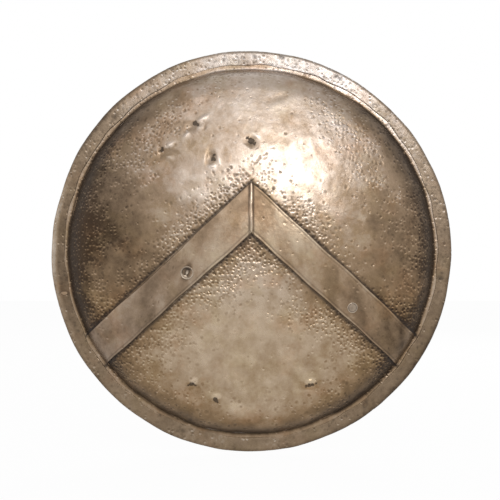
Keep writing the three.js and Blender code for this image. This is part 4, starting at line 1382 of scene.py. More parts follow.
def make_rivet(key, head, uneven):
    x, z = RIVETS[key]
    normal = bowl.normal(x, z)
    lift = float(facing_sheet.read(*flattened(x, z), raised))
    place = bowl.on(x, z, lift)
    points, faces = turned(TAIL + head, RIVET_SIDES, place, normal, uneven)
    from_axis = np.linalg.norm(np.cross(points - place, normal), axis=-1)
    if key == "left":
        # Painted shade on the upper side of the dish's inner wall; the floor and lower side are left pale as
        # painted light.
        away = points - place
        upper = step((away[:, 2] - 0.35 * away[:, 0]) / (from_axis + 1e-9), -0.25, 0.55)
        inner_wall = bell(from_axis, 8.2, 3.0)
        dirt = 0.95 * inner_wall * upper
        patina = 0.12 + inner_wall * (0.12 + 0.5 * upper) + 0.12 * step(from_axis, 12.8, 13.8)
    else:
        dirt = 0.7 * bell(from_axis, 8.9, 0.9)
        patina = 0.36 - 0.2 * (from_axis > 9.3)
    marks = {"patina": patina, "dirt": dirt}
    node = "band_rivet_" + key
    make_piece(node + "_head", points, faces, rivet_bronze, [node], marks=marks)


make_rivet("left", DISHED, battered)
make_rivet("right", FLUSH, None)

# %% [markdown]
# ## The wooden core
#
# Behind the bronze is a bowl turned from edge-glued poplar boards. Only its edge shows, in the mouth
# between the lining and the binding, and the dents would cut into the plain solid. So the boards are made
# anew with a slightly lower face: one bowl is turned, and sawn into five at the places where the CAD
# boards end. Sawing leaves open cuts, which are filled with triangles to make closed solids.

# %% Wood
BOARDS = 5
SAW_GAP = 0.3


def poplar():
    finish = Finish("core_poplar")
    at = finish.node("Mapping", {}, Vector=finish.place(), Scale=(0.35, 5.0, 5.0))
    rings = finish.noise(16.0, 5.0, 0.6, at=at)
    fibres = finish.noise(90.0, 3.0, 0.7, at=at)
    board = finish.mark("board")
    tone = (rings * 0.9 + fibres * 0.35 - 0.2 + (board - 0.5) * 0.3).clipped()
    stops = [(0.0, (0.115, 0.066, 0.034)), (0.5, (0.235, 0.145, 0.075)), (1.0, (0.36, 0.245, 0.135))]
    colour = finish.node("ValToRGB", {"stops": stops}, tone)
    normal = finish.bumped(rings * 0.4 + fibres, 0.0004, 0.8)
    return finish.done(Base_Color=colour, Roughness=0.55 + fibres * 0.2, Normal=normal)


def core_section():
    """Radius and depth round the core's section, from the axis in front to the axis behind."""
    lengths = np.concatenate([np.linspace(0, DOME_END, 22), np.linspace(DOME_END, SHOULDER_END, 14)[1:]])
    front = np.stack(bowl.along(lengths, -4.4), axis=-1)
    edge = [(429 + 4.8 * np.sin(a), 5.8 + 4.8 * np.cos(a)) for a in np.linspace(0, np.pi, 9)]
    wall_foot = (wall_distance - 8 - np.sin(WALL_LEAN)) / np.cos(WALL_LEAN)
    behind = np.stack(bowl.along(lengths, -8), axis=-1)[::-1]
    return np.array([*front, (402, 10.6), *edge, (wall_foot, 1.0), *behind])


def saw(board, height, keep):
    """Cuts at a height, keeps what is above (1) or below (-1) and fills the open cut."""
    everything = [*board.verts, *board.edges, *board.faces]
    plane = {"plane_co": (0, 0, height), "plane_no": (0, 0, -keep)}
    cut = bmesh.ops.bisect_plane(board, geom=everything, clear_outer=True, **plane)["geom_cut"]
    edges = [part for part in cut if isinstance(part, bmesh.types.BMEdge)]
    bmesh.ops.triangle_fill(board, edges=edges, use_beauty=True)


def saw_boards():
    section = core_section()
    sides = 132
    rings = section[1:-1]
    ring = around_axis(rings[:, :1], rings[:, 1:], turns(sides))
    ends = [(0, -section[0, 1], 0), (0, -section[-1, 1], 0)]
    points = np.concatenate([ring.reshape(-1, 3), ends])
    faces = [tuple(face) for group in capped_rings(len(rings), sides) for face in group]
    height = 2 * SHIELD_RADIUS / BOARDS
    for i in range(BOARDS):
        board = bmesh.new()
        corners = [board.verts.new(point) for point in points]
        for face in faces:
            board.faces.new([corners[j] for j in face])
        if i > 0:
            saw(board, -SHIELD_RADIUS + i * height + SAW_GAP / 2, 1)
        if i < BOARDS - 1:
            saw(board, -SHIELD_RADIUS + (i + 1) * height - SAW_GAP / 2, -1)
        bmesh.ops.triangulate(board, faces=board.faces)
        bmesh.ops.recalc_face_normals(board, faces=board.faces)
        board.verts.index_update()
        board_points = [tuple(corner.co) for corner in board.verts]
        board_faces = [[corner.index for corner in face.verts] for face in board.faces]
        board.free()
        marks = {"board": np.full(len(board_points), (i * 2 % BOARDS) / (BOARDS - 1))}
        replaced = [f"core_board_{i + 1}"]
        look = {"marks": marks, "smooth": False, "slot": "core_wood"}
        make_piece(f"poplar_board_{i + 1}", board_points, [board_faces], wood, replaced, **look)


wood = poplar()
saw_boards()

# %% [markdown]
# ## The leather lining
#
# Thin waxed leather covers the hollow. It was glued in wet, so it has soft wrinkles that turn into small
# pleats where the bowl curves up to its mouth, and it is pieced from three hides with overlapping seams.
# The seams and the hem are sewn. Each stitch is a real little pad of thread, because from the back the
# stitches catch the light. A cloth simulation would be slow here and would only blur the seams, as the
# leather is stuck down everywhere.

# %% Leather
def leather(name, worn, middle, dark, grain, shine):
    finish = Finish(name)
    clouds = finish.noise(7.0, 5.0, 0.55)
    scuffs = finish.noise(60.0, 5.0, 0.7)
    pores = finish.cells(grain)
    creases = finish.cells(grain * 0.33, feature="DISTANCE_TO_EDGE")
    wear, dirt = finish.mark("wear"), finish.mark("dirt")
    tone = (0.62 - wear * 0.55 + (clouds - 0.5) * 0.8 + (scuffs - 0.5) * 0.45).clipped()
    stops = [(0.0, worn), (0.5, middle), (1.0, dark)]
    colour = finish.node("ValToRGB", {"stops": stops}, tone)
    colour = finish.blend(colour, (0.012, 0.007, 0.004), dirt * 0.75)
    colour = finish.blend(colour, (0.02, 0.011, 0.006), (1 - creases.between(0.0, 0.10)) * 0.35)
    relief = pores * 0.5 + creases.between(0.0, 0.16) * 0.8 + scuffs * 0.8
    normal = finish.bumped(relief, 0.00035, 0.9)
    roughness = (scuffs - 0.5) * 0.25 + (tone - 0.5) * 0.12 + dirt * 0.15 + shine
    return finish.done(Base_Color=colour, Roughness=roughness, Normal=normal)


def thread_finish():
    finish = Finish("linen_thread")
    twist = finish.noise(900.0, 2.0, 0.5)
    colour = finish.blend((0.34, 0.27, 0.17), (0.17, 0.12, 0.07), twist)
    return finish.done(Base_Color=colour, Roughness=0.8, Normal=finish.bumped(twist, 0.0002))


# Worn, middle and dark colour, how fine the pores are, and shine.
LEATHERS = {
    "lining_leather": ((0.225, 0.118, 0.058), (0.125, 0.060, 0.029), (0.052, 0.024, 0.013), 420.0, 0.42),
    "sleeve_leather": ((0.190, 0.095, 0.045), (0.095, 0.044, 0.021), (0.036, 0.017, 0.009), 520.0, 0.38),
    "grip_leather": ((0.230, 0.125, 0.062), (0.115, 0.056, 0.027), (0.035, 0.017, 0.009), 620.0, 0.34),
}
lining_leather, sleeve_leather, grip_leather = (leather(name, *values) for name, values in LEATHERS.items())
linen_thread = thread_finish()
print("leathers:", len(LEATHERS))

# %% Stitches
# From one stitch to the next, the length of a stitch and its thickness, in millimetres.
HEM_STITCH, SEAM_STITCH, SLEEVE_STITCH = (9.0, 5.4, 1.5), (7.5, 4.6, 1.3), (6.5, 4.2, 1.2)
STITCH_SIDES = 6


def at_length(columns, way, place):
    """A path's numbers at places along it, when way says how far along each of its points lies."""
    return np.stack([np.interp(place, way, column) for column in columns.T], axis=-1)


def stitches(path, normals, pitch, length, thickness):
    """Little pads of thread along a path, half sunk, as (points, faces)."""
    way = travelled(path)
    middles = np.arange(pitch / 2, way[-1], pitch)
    centre, up = at_length(path, way, middles), at_length(normals, way, middles)
    along = unit(at_length(path, way, middles + 0.5) - at_length(path, way, middles - 0.5))
    aside = np.cross(along, up)
    share = np.array([-1.0, -0.8, -0.35, 0.35, 0.8, 1.0])
    girth = np.array([0.15, 0.75, 1.0, 1.0, 0.75, 0.15])
    turn = turns(STITCH_SIDES)[:, None]
    ring = aside[:, None, None] * np.cos(turn) + up[:, None, None] * np.sin(turn)
    body = centre[:, None, None] + along[:, None, None] * (share * length / 2)[:, None, None]
    body = body + ring * (girth * thickness / 2)[:, None, None]
    arch = up[:, None, None] * ((1 - share**2) * thickness * 0.35)[:, None, None]
    points = (body + arch).reshape(-1, 3)
    count = len(share) * STITCH_SIDES
    last = count - STITCH_SIDES
    ends = [fan_faces(0, np.arange(1, STITCH_SIDES))[:-1]]
    ends.append(fan_faces(last, np.arange(last + 1, count), flip=True)[:-1])
    starts = np.arange(len(middles))[:, None, None] * count
    quads = (grid_faces(len(share), STITCH_SIDES, closed=True, flip=True) + starts).reshape(-1, 4)
    caps = (np.concatenate(ends) + starts).reshape(-1, 3)
    return points, [quads, caps]


print("stitch pitches:", HEM_STITCH[0], SEAM_STITCH[0], SLEEVE_STITCH[0])

# %% The lining's mesh
LINING_SPACING, LINING_BACK = 4.6, -1.3
HEM_DEPTH, HEM_ROW = 6.0, 6.5
lining_depth = lining.line[:, 1] + LINING_FACE * np.cos(lining.line[:, 2])
LINING_END = float(np.interp(-HEM_DEPTH, -lining_depth, lining.length))
SEAM_X = 128

lining_sheet = Sheet(-SHEET_EDGE, SHEET_EDGE, -SHEET_EDGE, SHEET_EDGE, seed=77)
lining_sheet.add_waves((0.28, 70), (0.16, 26), (0.05, 10))
for _ in range(70):
    x, z = lining_sheet.random.uniform(-330, 330, 2)
    turn, long = lining_sheet.random.uniform(0, np.pi), lining_sheet.random.uniform(12, 42)
    lining_sheet.press(x, z, long, 1.7, turn, -0.55, "dent")


def lining_height(length, bearing):
    """How far the leather stands over its even face, with pleats, seams and hem."""
    x, z = length * np.sin(bearing), length * np.cos(bearing)
    height = lining_sheet.read(x, z)
    pleat = np.cos(58 * bearing + 2.2 * np.sin(5 * bearing)) * (0.6 + 0.4 * np.sin(9 * bearing))
    height = height + 0.75 * step(length, DOME_END - 12, DOME_END + 50) * pleat
    from_seam = np.abs(np.abs(x) - SEAM_X)
    height = height + 0.75 * (1 - step(from_seam, 3.2, 5.2)) - 0.35 * bell(from_seam, 6.2, 1.4)
    return height + 0.9 * step(length, LINING_END - 14, LINING_END - 11.5)


def make_lining():
    rings = int(LINING_END / LINING_SPACING)
    length, bearing, *seen = even_disc(LINING_END, rings, 6 * rings)
    back_length, back_bearing, *hidden = even_disc(LINING_END, rings // 3, 6 * rings)
    seen = lining.over(length, bearing, lining_height(length, bearing)), *seen
    hidden = lining.over(back_length, back_bearing, LINING_BACK), *hidden
    points, faces = two_skins(seen, hidden, front=False)
    x, z = length * np.sin(bearing), length * np.cos(bearing)
    wear_and_painted_highlight = bell(z, 0, 120) * (0.55 + 0.35 * bell(x, -250, 90))
    dirt = 0.6 * bell(np.abs(np.abs(x) - SEAM_X), 6, 1.8) + 0.45 * step(length, LINING_END - 60, LINING_END)
    marks = {"wear": wear_and_painted_highlight, "dirt": np.clip(dirt, 0, 1)}
    make_piece("sewn_lining", points, faces, lining_leather, ["leather_lining"], marks=marks)


def lining_row(length, bearing, stitch):
    """A row of stitches that lies on the leather."""
    path = lining.over(length, bearing, lining_height(length, bearing))
    return stitches(path, lining.normal(path[:, 0], path[:, 2]), *stitch)


def make_lining_stitches():
    """Two rows beside each seam and one along the hem."""
    bearing = np.linspace(0, 2 * np.pi, 900)
    rows = [lining_row(np.full_like(bearing, LINING_END - HEM_ROW), bearing, HEM_STITCH)]
    z = np.linspace(-352, 352, 500)
    for side in (-1, 1):
        for away in (-2.0, 2.0):
            x = side * SEAM_X + away
            rows.append(lining_row(np.hypot(x, z), np.arctan2(x, z), SEAM_STITCH))
    make_piece("lining_stitches", *joined(*rows), linen_thread, slot="lining_leather")


make_lining()
make_lining_stitches()

# %% [markdown]
# ## The armband
#
# The forearm goes through a wide arch of sheet bronze that is riveted to the bowl by two rounded feet.
# Arch and feet are one sheet. The path along the middle of that sheet starts at a foot's tip, runs on the
# lining, turns up, goes over the arm and comes down again the same way. Each place across the band has
# its own path, because the arch flares towards its edges and the feet are rounded. The sheet is then
# given its thickness at right angles to the path, with a bead along both edges and two engraved lines.

# %% Paths over the arm
ARMBAND_HALF = 48
ARCH_BORE, ARCH_FLARE = 58, 5
FITTING_GAP = 0.3
arch_middle = float(lining.on(0, ARCH_BORE, FITTING_GAP)[1]) + 10
FOOT_START, FOOT_SIDES, FOOT_BEND = 59.25, 10, 4.0


def arch_path(x, bore, foot_thickness, foot_end, steps):
    """Half a path over the arm as (y, z), from the foot's tip, or from the lining, up to the top.

    steps says how many points the foot, its bend, the upright and the arch have.
    """
    def seat(z, up):
        return float(lining.on(x, z, FITTING_GAP + up)[1])

    if foot_end is None:
        rows = [(seat(bore, 0), bore), (seat(bore, 3.0), bore)]
    else:
        bend = bore + FOOT_BEND
        rows = [(seat(z, foot_thickness), z) for z in np.linspace(foot_end, bend, steps[0])[:-1]]
        ground = seat(bend, foot_thickness)
        for angle in np.linspace(0, np.pi / 2, steps[1]):
            rows.append((ground + FOOT_BEND * (1 - np.cos(angle)), bore + FOOT_BEND * (1 - np.sin(angle))))
    rows += [(y, bore) for y in np.linspace(rows[-1][0], arch_middle, steps[2] + 1)[1:]]
    over = np.linspace(0, np.pi / 2, steps[3])[1:]
    rows += [(arch_middle + bore * np.sin(angle), bore * np.cos(angle)) for angle in over]
    return np.array(rows)


def there_and_back(half):
    """A whole path from its first half, of which the second is the mirror image."""
    return np.concatenate([half, half[-2::-1] * (1, -1)])


def arched_sheet(xs, bores, half_thickness, foot_thickness, foot_ends, steps, relief):
    """A sheet over the arm as (points, faces), with each row of points running once round its edge."""
    halves = [arch_path(x, bore, foot_thickness, end, steps) for x, bore, end in zip(xs, bores, foot_ends)]
    paths = np.array([there_and_back(half) for half in halves])
    tangent = unit(np.gradient(paths, axis=1))
    outward = np.stack([-tangent[..., 1], tangent[..., 0]], axis=-1)
    x = xs[:, None] * np.ones(paths.shape[:2])
    thickness = half_thickness(x)[..., None]
    outer = paths + outward * (thickness + relief(x, paths)[..., None])
    inner = paths - outward * thickness
    section = np.concatenate([np.dstack([x, outer]), np.dstack([x, inner])[::-1]])
    count, long = section.shape[:2]
    points = section.transpose(1, 0, 2).reshape(-1, 3)
    faces = [grid_faces(long, count, closed=True)]
    half = count // 2
    for row in (0, (long - 1) * count):
        i = row + np.arange(half - 1)
        far = 2 * row + count - 1 - i
        strip = np.stack([i, i + 1, far - 1, far], axis=-1)
        faces.append(strip[:, ::-1] if row == 0 else strip)
    return points, faces


print("the arch's middle is", round(arch_middle, 1), "mm from the rim's plane")

# %% The armband's mesh
ENGRAVED = (36.5, 40.5)  # how far from the middle each engraved line runs


def armband_bead(x):
    """Half the armband's thickness, which grows into a bead at both edges."""
    return 1.1 + 0.75 * bell(ARMBAND_HALF - np.abs(x), 0, 1.8)


def engraved_lines(x, paths):
    lines = sum(bell(np.abs(x), place, 0.8) for place in ENGRAVED)
    waves = 0.15 * np.sin(paths[..., 1] * 0.11 + x * 0.05) + 0.10 * np.sin(x * 0.19 + paths[..., 0] * 0.13)
    return -0.45 * lines + waves


def make_armband():
    turn = np.linspace(-np.pi / 2, np.pi / 2, 61)
    xs = ARMBAND_HALF * np.sin(turn)
    share = xs / ARMBAND_HALF
    bores = ARCH_BORE + ARCH_FLARE * share**2 + 1.25
    foot_ends = FOOT_START + FOOT_SIDES + ARMBAND_HALF * np.cos(turn)
    points, faces = arched_sheet(xs, bores, armband_bead, 1.1, foot_ends, (20, 5, 4, 26), engraved_lines)
    edge = 1 - np.abs(points[:, 0]) / ARMBAND_HALF
    high = step(points[:, 1], -80, -32)
    engraved = sum(bell(np.abs(points[:, 0]), place, 1.1) for place in ENGRAVED)
    patina = 0.55 - 0.28 * high - 0.2 * (edge < 0.03)
    marks = {"patina": patina, "dirt": 0.75 * engraved + 0.5 * (1 - step(points[:, 1], -105, -96))}
    make_piece("flared_armband", points, faces, fitting_bronze, ["armband"], marks=marks)


make_armband()

# %% [markdown]
# ## The sleeve under the armband
#
# Bare bronze would cut the arm, so a leather sleeve lines the arch and shows past both of its edges. It is
# the same kind of path without the feet. Its edges are folded over and sewn down, and the inside is
# creased and dark from use.

# %% The sleeve's mesh
SLEEVE_HALF = 53
SLEEVE_THICKNESS = 3.0


def sleeve_swell(x):
    """Half the sleeve's thickness, fat at the folded edges and thin at the stitching beside them."""
    from_edge = SLEEVE_HALF - np.abs(x)
    fold = np.sqrt(np.clip(1 - ((from_edge - 2.0) / 2.1) ** 2, 0, 1))
    return 1.3 + 0.75 * fold - 0.35 * bell(from_edge, 4.8, 0.8)


def sleeve_bore(x):
    share = x / ARMBAND_HALF
    return ARCH_BORE - 0.55 - SLEEVE_THICKNESS / 2 + ARCH_FLARE * share**2


def sleeve_creases(x, paths):
    return 0.22 * np.sin(paths[..., 0] * 0.22 + x * 0.4) * step(np.abs(x), 42, 50)


def make_sleeve():
    turn = np.linspace(-1, 1, 73)
    xs = SLEEVE_HALF * np.sign(turn) * (1 - (1 - np.abs(turn)) ** 1.35)
    feet, steps = [None] * len(xs), (0, 0, 6, 34)
    points, faces = arched_sheet(xs, sleeve_bore(xs), sleeve_swell, 0, feet, steps, sleeve_creases)
    from_edge = SLEEVE_HALF - np.abs(points[:, 0])
    high = step(points[:, 1], -90, -40)
    marks = {"wear": 0.35 * high + 0.4 * (from_edge < 3), "dirt": 0.7 * bell(from_edge, 5, 1.0)}
    make_piece("armband_sleeve_leather", points, faces, sleeve_leather, ["armband_sleeve"], marks=marks)
    rows = []
    for x in (2.6 - SLEEVE_HALF, SLEEVE_HALF - 2.6):
        path = there_and_back(arch_path(x, float(sleeve_bore(x)) + 2.0, 0, None, (0, 0, 10, 60)))
        path = np.column_stack([np.full(len(path), x), path])[3:-3]
        tangent = unit(np.gradient(path, axis=0))
        normal = np.stack([0 * tangent[:, 0], -tangent[:, 2], tangent[:, 1]], axis=-1)
        rows.append(stitches(path, normal, *SLEEVE_STITCH))
    make_piece("sleeve_stitches", *joined(*rows), linen_thread, slot="sleeve_leather")


make_sleeve()

# %% [markdown]
# ## Nails
#
# Domed nails hold the armband's feet and the brackets. Twelve equal ones would look cast, so each head is
# tilted and flattened a little differently, from a seeded draw.

# %% Nail heads
NAIL_HEAD = [(0, -6.0), (1.0, -5.4), (1.6, -4.5), (1.6, 0.0), (4.7, 0.0), (5.05, 0.35)]
NAIL_HEAD += [(4.85, 0.95), (4.1, 1.75), (2.9, 2.4), (1.5, 2.7), (0, 2.8)]
NAIL_SIDES = 24
nail_random = np.random.default_rng(15)


def drive_nail(node, x, z, seat):
    normal = lining.normal(x, z)
    place = lining.on(x, z, seat)
    tilt = nail_random.normal(size=3) * 0.03
    flat, lean = nail_random.uniform(0.86, 1.05), nail_random.uniform(0, 2 * np.pi)

    def hammered(radius, height, turn):
        return height * flat + 0.10 * (height > 0.5) * np.cos(turn + lean)

    points, faces = turned(NAIL_HEAD, NAIL_SIDES, place, normal + tilt, hammered)
    height = (points - place) @ normal
    marks = {"patina": 0.55 - 0.45 * step(height, 0.8, 2.3), "dirt": 0.8 * (height < 0.4)}
    make_piece(node + "_head", points, faces, nail_bronze, [node], marks=marks)


FOOT_TOP = 2.25  # from the armband's underside to just over its foot
ARMBAND_NAILS = [(-32.64, 76.65), (32.64, 76.65), (-19.2, 101.01), (19.2, 101.01)]
places = [(x, side * z) for side in (1, -1) for x, z in ARMBAND_NAILS]
for number, place in enumerate(places, 1):
    drive_nail(f"armband_nail_{number}", *place, FITTING_GAP + FOOT_TOP)

# %% [markdown]
# ## The swinging handle
#
# The hand closes on a bent rod near the rim. The rod turns in two brackets, and its hand bar is wound
# with a strip of leather. The rod is a tube swept along a line with rounded bends. The winding is not a
# smooth sleeve: each turn of the strip lies half over the last, which gives the bar its ridged, screw-like
# shape, and both ends are bound with thread.

# %% Sweep a rod
pivots = {joint["name"]: [place / MM for place in joint["pos_m"]] for joint in frame["joints"]}
GRIP_X, GRIP_Y, _ = pivots["grip_swing"]
GRIP_SPAN = 140.0
ROD_RADIUS = 3.6
ARM_Z, ARM_REACH = 59.4, 43.0
BEND_STEPS = 9


def rounded(corners, radii):
    """A line through corners (y, z), each rounded to its radius."""
    corners = np.array(corners, float)
    ways = unit(np.diff(corners, axis=0))
    share = np.linspace(0, 1, BEND_STEPS)[:, None]
    rows = [corners[:1]]
    for corner, into, out, radius in zip(corners[1:], ways, ways[1:], radii):
        rows.append(corner - into * radius * (1 - share) ** 2 + out * radius * share**2)
    return np.concatenate([*rows, corners[-1:]])


def swept(path, radii, sides):
    """A closed tube along points that all lie in a plane of equal x."""
    tangent = unit(np.gradient(path, axis=0))
    across = np.array([1.0, 0.0, 0.0])
    aside = np.cross(tangent, across)
    turn = turns(sides)
    ring = across * np.cos(turn)[None, :, None] + aside[:, None] * np.sin(turn)[None, :, None]
    points = (path[:, None] + ring * np.asarray(radii)[:, None, None]).reshape(-1, 3)
    return np.concatenate([points, path[[0, -1]]]), capped_rings(len(path), sides)


print("the handle turns at", round(GRIP_X, 1), "mm from the axis")

# %% The handle
KNOB = [(0, -0.4), (3.4, -0.4), (5.1, 0.0), (5.6, 0.8), (5.6, 1.6)]
KNOB += [(5.1, 2.4), (3.9, 3.0), (2.0, 3.3), (0, 3.4)]
PIN_END = 74.5


def make_handle():
    corners = [(0, PIN_END), (0, ARM_Z), (ARM_REACH, ARM_Z), (ARM_REACH, 0.0)]
    path = there_and_back(rounded(corners, (6.0, 15.0)))
    path = np.column_stack([np.full(len(path), GRIP_X), path[:, 0] + GRIP_Y, path[:, 1]])
    way = travelled(path)
    even = np.linspace(0, way[-1], 190)
    path = at_length(path, way, even)
    up, z = path[:, 1] - GRIP_Y, np.abs(path[:, 2])
    radii = ROD_RADIUS + 0.12 * np.sin(even * 0.31) * (up > 6)
    for collar in (17.0, 20.5):
        radii = radii + 0.9 * bell(up, collar, 1.1) * (z > 50)
    parts = [swept(path, radii, sides=20)]
    for side in (1, -1):
        parts.append(turned(KNOB, 22, (GRIP_X, GRIP_Y, side * (PIN_END - 0.2)), (0, 0, side)))
    points, faces = joined(*parts)
    up, z = points[:, 1] - GRIP_Y, np.abs(points[:, 2])
    dirt = 0.7 * bell(up, 18.7, 0.9) + 0.4 * (z > 66) * (z < 74)
    marks = {"patina": 0.42 - 0.2 * step(up, 20, 38), "dirt": dirt}
    make_piece("bent_handle", points, faces, fitting_bronze, ["hand_grip"], body="handle", marks=marks)


make_handle()

# %% The winding
def hoop(place, radius, wire, axis, around, sides, uneven=0.0, thin=0.0):
    """A ring of wire round an axis through a place. Thin is how much it has worn where its turn starts."""
    turn, side = turns(around)[:, None], turns(sides)
    wire = wire * (1 - thin * bell(np.minimum(turn, 2 * np.pi - turn), 0, 0.35))
    out = radius * (1 + uneven * np.sin(2 * turn + 0.6)) + wire * np.cos(side)
    first, second, third = out * np.cos(turn), out * np.sin(turn), wire * np.sin(side) + 0 * turn
    order = {"x": (third, first, second), "y": (second, third, first), "z": (first, second, third)}[axis]
    points = np.stack(np.broadcast_arrays(*order), axis=-1).reshape(-1, 3) + np.array(place, float)
    return points, [grid_faces(around, sides, closed=True, ring=True, flip=True)]


def make_winding():
    """The leather strip wound round the hand bar, with four turns of thread at both ends."""
    rows, sides, pitch = 132, 40, 11.5
    half = 42.0
    share = np.linspace(-1, 1, rows)[:, None]
    turn = turns(sides)
    z = share * half + 0 * turn
    lap = (z / pitch - turn / (2 * np.pi)) % 1.0
    strip = 0.75 * (1 - lap) ** 0.6 - 0.55 * bell(lap, 0, 0.05) - 0.55 * bell(1, lap, 0.05)
    body = 6.55 + 1.35 * (1 - share**2) + strip * (1 - step(np.abs(share), 0.88, 0.93))
    squeeze = 1 + 0.05 * np.cos(2 * turn) + 0.03 * np.cos(3 * turn + 1)
    outside = body * squeeze * np.where(np.abs(share) > 0.995, 0.93, 1.0)
    radius = np.concatenate([outside, np.full((3, sides), ROD_RADIUS - 0.2)])
    z = np.concatenate([z, np.array([[half], [0.0], [-half]]) + 0 * turn])
    x, y = GRIP_X + radius * np.cos(turn), GRIP_Y + ARM_REACH + radius * np.sin(turn)
    faces = [grid_faces(rows + 3, sides, closed=True, ring=True)]
    groove = bell(np.minimum(lap, 1 - lap), 0, 0.10)
    marks = {"wear": 0.75 * np.clip(1 - share**2, 0, 1) * (1 - groove), "dirt": 0.85 * groove}
    points = np.stack([x, y, z], axis=-1)
    make_piece("wound_grip", points, faces, grip_leather, ["grip_wrap"], body="handle", marks=marks)
    places = [end * (half - 1.6 - 1.25 * number) for end in (-1, 1) for number in range(4)]
    threads = [hoop((GRIP_X, GRIP_Y + ARM_REACH, z), 6.75, 0.72, "z", around=36, sides=8) for z in places]
    make_piece("grip_thread", *joined(*threads), linen_thread, body="handle", slot="grip_leather")


make_winding()

# %% [markdown]
# ## Plates on the lining
#
# The brackets' plates and the rosettes under the rings are both thin castings that lie on the leather.
# One helper lays down any outline that is given as a radius for each direction, with a height for each
# place on it. That gives plain rounded plates and petals alike, and no plate floats or sinks, because
# every point is measured from the lining.

# %% Lay down a plate
PLATE_GAP = 0.15


def plate(x, z, outline, height, rings, sides):
    """A plate on the lining. outline(turn) is its radius, and height(share, turn) how far it stands up."""
    turn = turns(sides)
    share = np.linspace(0, 1, rings + 1)[1:, None]
    reach = outline(turn) * share
    top_x, top_z = x + reach * np.cos(turn), z + reach * np.sin(turn)
    top = lining.on(top_x, top_z, PLATE_GAP + height(share, turn))
    middle = lining.on(x, z, PLATE_GAP + height(np.zeros(1), np.zeros(1)))
    bottom = lining.on(top_x[-1], top_z[-1], PLATE_GAP)
    layers = (middle, top, bottom, lining.on(x, z, PLATE_GAP))
    points = np.concatenate([layer.reshape(-1, 3) for layer in layers])
    ring = np.arange(1, sides + 1)
    faces = [fan_faces(0, ring, flip=True), grid_faces(rings + 1, sides, closed=True) + 1]
    faces.append(fan_faces(len(points) - 1, ring + rings * sides))
    return points, faces


print("plates lie", PLATE_GAP, "mm over the leather")

# %% The brackets
PLATE_LONG, PLATE_WIDE, PLATE_HEIGHT = 22.0, 13.0, 2.2
EYE_RADIUS, EYE_WALL, LUG_HALF = 4.05, 3.2, 3.0
LUG_SIDES, LUG_DROP = 48, 11.5  # the drop is from the eye's middle to the lug's foot
NAIL_ASIDE = 15  # from the eye's middle to the nails on both sides


def oval(turn):
    return PLATE_LONG * PLATE_WIDE / np.hypot(PLATE_WIDE * np.cos(turn), PLATE_LONG * np.sin(turn))


def plate_height(share, turn):
    rounding = np.clip((1 - share) / 0.16, 0, 1) ** 0.5
    return PLATE_HEIGHT * rounding + 0.25 * bell(share, 0.80, 0.05) + 0 * turn


def lug(side):
    """The upright eye that the handle's pin turns in, flared at its foot."""
    turn = turns(LUG_SIDES)
    outer = EYE_RADIUS + EYE_WALL
    flare = outer + 4.0 * np.clip(-np.sin(turn), 0, 1) ** 3
    sideways, down = np.maximum(np.abs(np.cos(turn)), 1e-6), np.maximum(-np.sin(turn), 1e-6)
    edge = np.where(np.sin(turn) < 0, np.minimum(flare / sideways, LUG_DROP / down), outer)
    hole = np.full_like(turn, EYE_RADIUS)
    half = [(hole, 2.4), (hole + 0.7, LUG_HALF), (edge - 0.8, LUG_HALF), (edge, 2.2)]
    loops = [(ring, -z) for ring, z in half] + half[::-1]
    rows = []
    for ring, z in loops:
        x, y = GRIP_X + ring * np.cos(turn), GRIP_Y + ring * np.sin(turn)
        rows.append(np.stack([x, y, np.full_like(turn, side * GRIP_SPAN / 2 + z)], axis=-1))
    return np.concatenate(rows), [grid_faces(len(loops), LUG_SIDES, closed=True, ring=True)]


def make_bracket(key, side):
    z = side * GRIP_SPAN / 2
    points, faces = joined(plate(GRIP_X, z, oval, plate_height, rings=12, sides=LUG_SIDES), lug(side))
    up = points[:, 1] - float(lining.on(GRIP_X, z)[1])
    marks = {"patina": 0.60 - 0.25 * step(up, 4, 18), "dirt": 0.7 * (1 - step(up, 0.8, 3.0))}
    name = "grip_bracket_" + key
    make_piece("cast_bracket_" + key, points, faces, fitting_bronze, [name], marks=marks)


for key, side, first_nail in (("upper", 1, 1), ("lower", -1, 3)):
    make_bracket(key, side)
    for number, aside in enumerate((-NAIL_ASIDE, NAIL_ASIDE), first_nail):
        drive_nail(f"grip_nail_{number}", GRIP_X + aside, side * GRIP_SPAN / 2, PLATE_HEIGHT + 0.2)

# %% [markdown]
# ## Rings for the carrying cord
#
# Four rings hang on staples that are driven through rosettes. Only the ring swings, so the staple and the
# rosette ride on the shield and the ring on its own body, hung where its joint is. The petals come from
# two waves: one gives the outline its notches and the other gives each petal a rounded back.

# %% Rosettes, staples and rings
RING_RADIUS, RING_WIRE, STAPLE_WIRE = 16.0, 2.0, 1.8
ROSETTE_RADIUS, PETALS, NOTCH = 19.0, 8, 0.16
STAPLE_RADIUS = RING_WIRE + 0.45 + STAPLE_WIRE
SHANK = [(0, -16.0), (1.2, -15.2), (2.3, -13.0), (2.4, -6.0), (2.1, -4.6), (1.2, -4.0), (0, -3.8)]


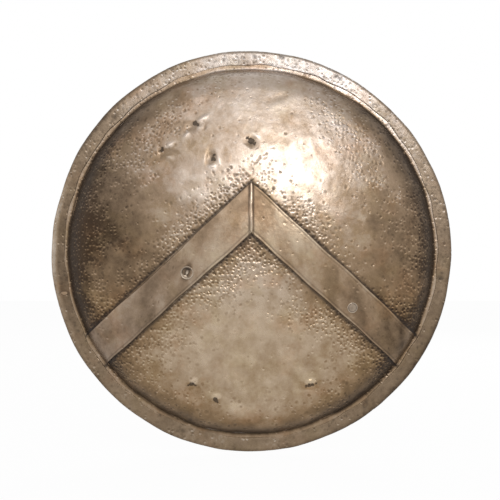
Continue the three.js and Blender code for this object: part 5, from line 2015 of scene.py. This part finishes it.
def petals(turn):
    return ROSETTE_RADIUS * (1 - NOTCH * (1 - np.abs(np.cos(PETALS * turn / 2))) ** 1.3)


def petal_height(share, turn):
    back = np.abs(np.cos(PETALS * turn / 2)) ** 0.7
    leaf = 0.35 + 1.45 * back * np.sin(np.pi * np.clip(share, 0.12, 0.97) ** 0.8) ** 0.6
    button = 1.6 * np.sqrt(np.clip(1 - (share / 0.27) ** 2, 0, 1))
    leaf = leaf * step(share, 0.18, 0.32) * (1 - 0.5 * step(share, 0.93, 1.0))
    return np.maximum(leaf, button) + 0.25


def make_cord_ring(joint):
    key = joint["name"].replace("ring_swing_", "")
    x, y, z = (float(value) / MM for value in joint["pos_m"])
    points, faces = plate(x, z, petals, petal_height, rings=16, sides=96)
    height = (points - lining.on(points[:, 0], points[:, 2])) @ lining.normal(x, z)
    marks = {"patina": 0.62 - 0.40 * step(height, 0.7, 1.8), "dirt": 0.85 * (1 - step(height, 0.5, 1.1))}
    make_piece("rosette_" + key, points, faces, ring_bronze, ["ring_rosette_" + key], marks=marks)

    eye = hoop((x, y, z), STAPLE_RADIUS, STAPLE_WIRE, "x", 40, 14)
    points, faces = joined(eye, turned(SHANK, 16, (x, y, z), (0, 1, 0)))
    inner = np.hypot(points[:, 1] - y, points[:, 2] - z) < STAPLE_RADIUS - 0.6
    marks = {"patina": 0.55 - 0.3 * step(points[:, 1] - y, 0, 5), "dirt": 0.5 * inner}
    make_piece("staple_" + key, points, faces, ring_bronze, ["ring_staple_" + key], marks=marks)

    middle = (x, y, z - RING_RADIUS)
    points, faces = hoop(middle, RING_RADIUS, RING_WIRE, "y", 84, 16, uneven=0.008, thin=0.10)
    top = np.clip(1 - np.hypot(points[:, 0] - x, points[:, 2] - z) / 9, 0, 1)
    marks = {"patina": 0.42 - 0.35 * top, "dirt": 0.12 * np.ones(len(points))}
    make_piece("cord_ring_" + key, points, faces, ring_bronze, ["ring_" + key], joint["child"], marks)


for joint in frame["joints"]:
    if joint["name"].startswith("ring_swing_"):
        make_cord_ring(joint)
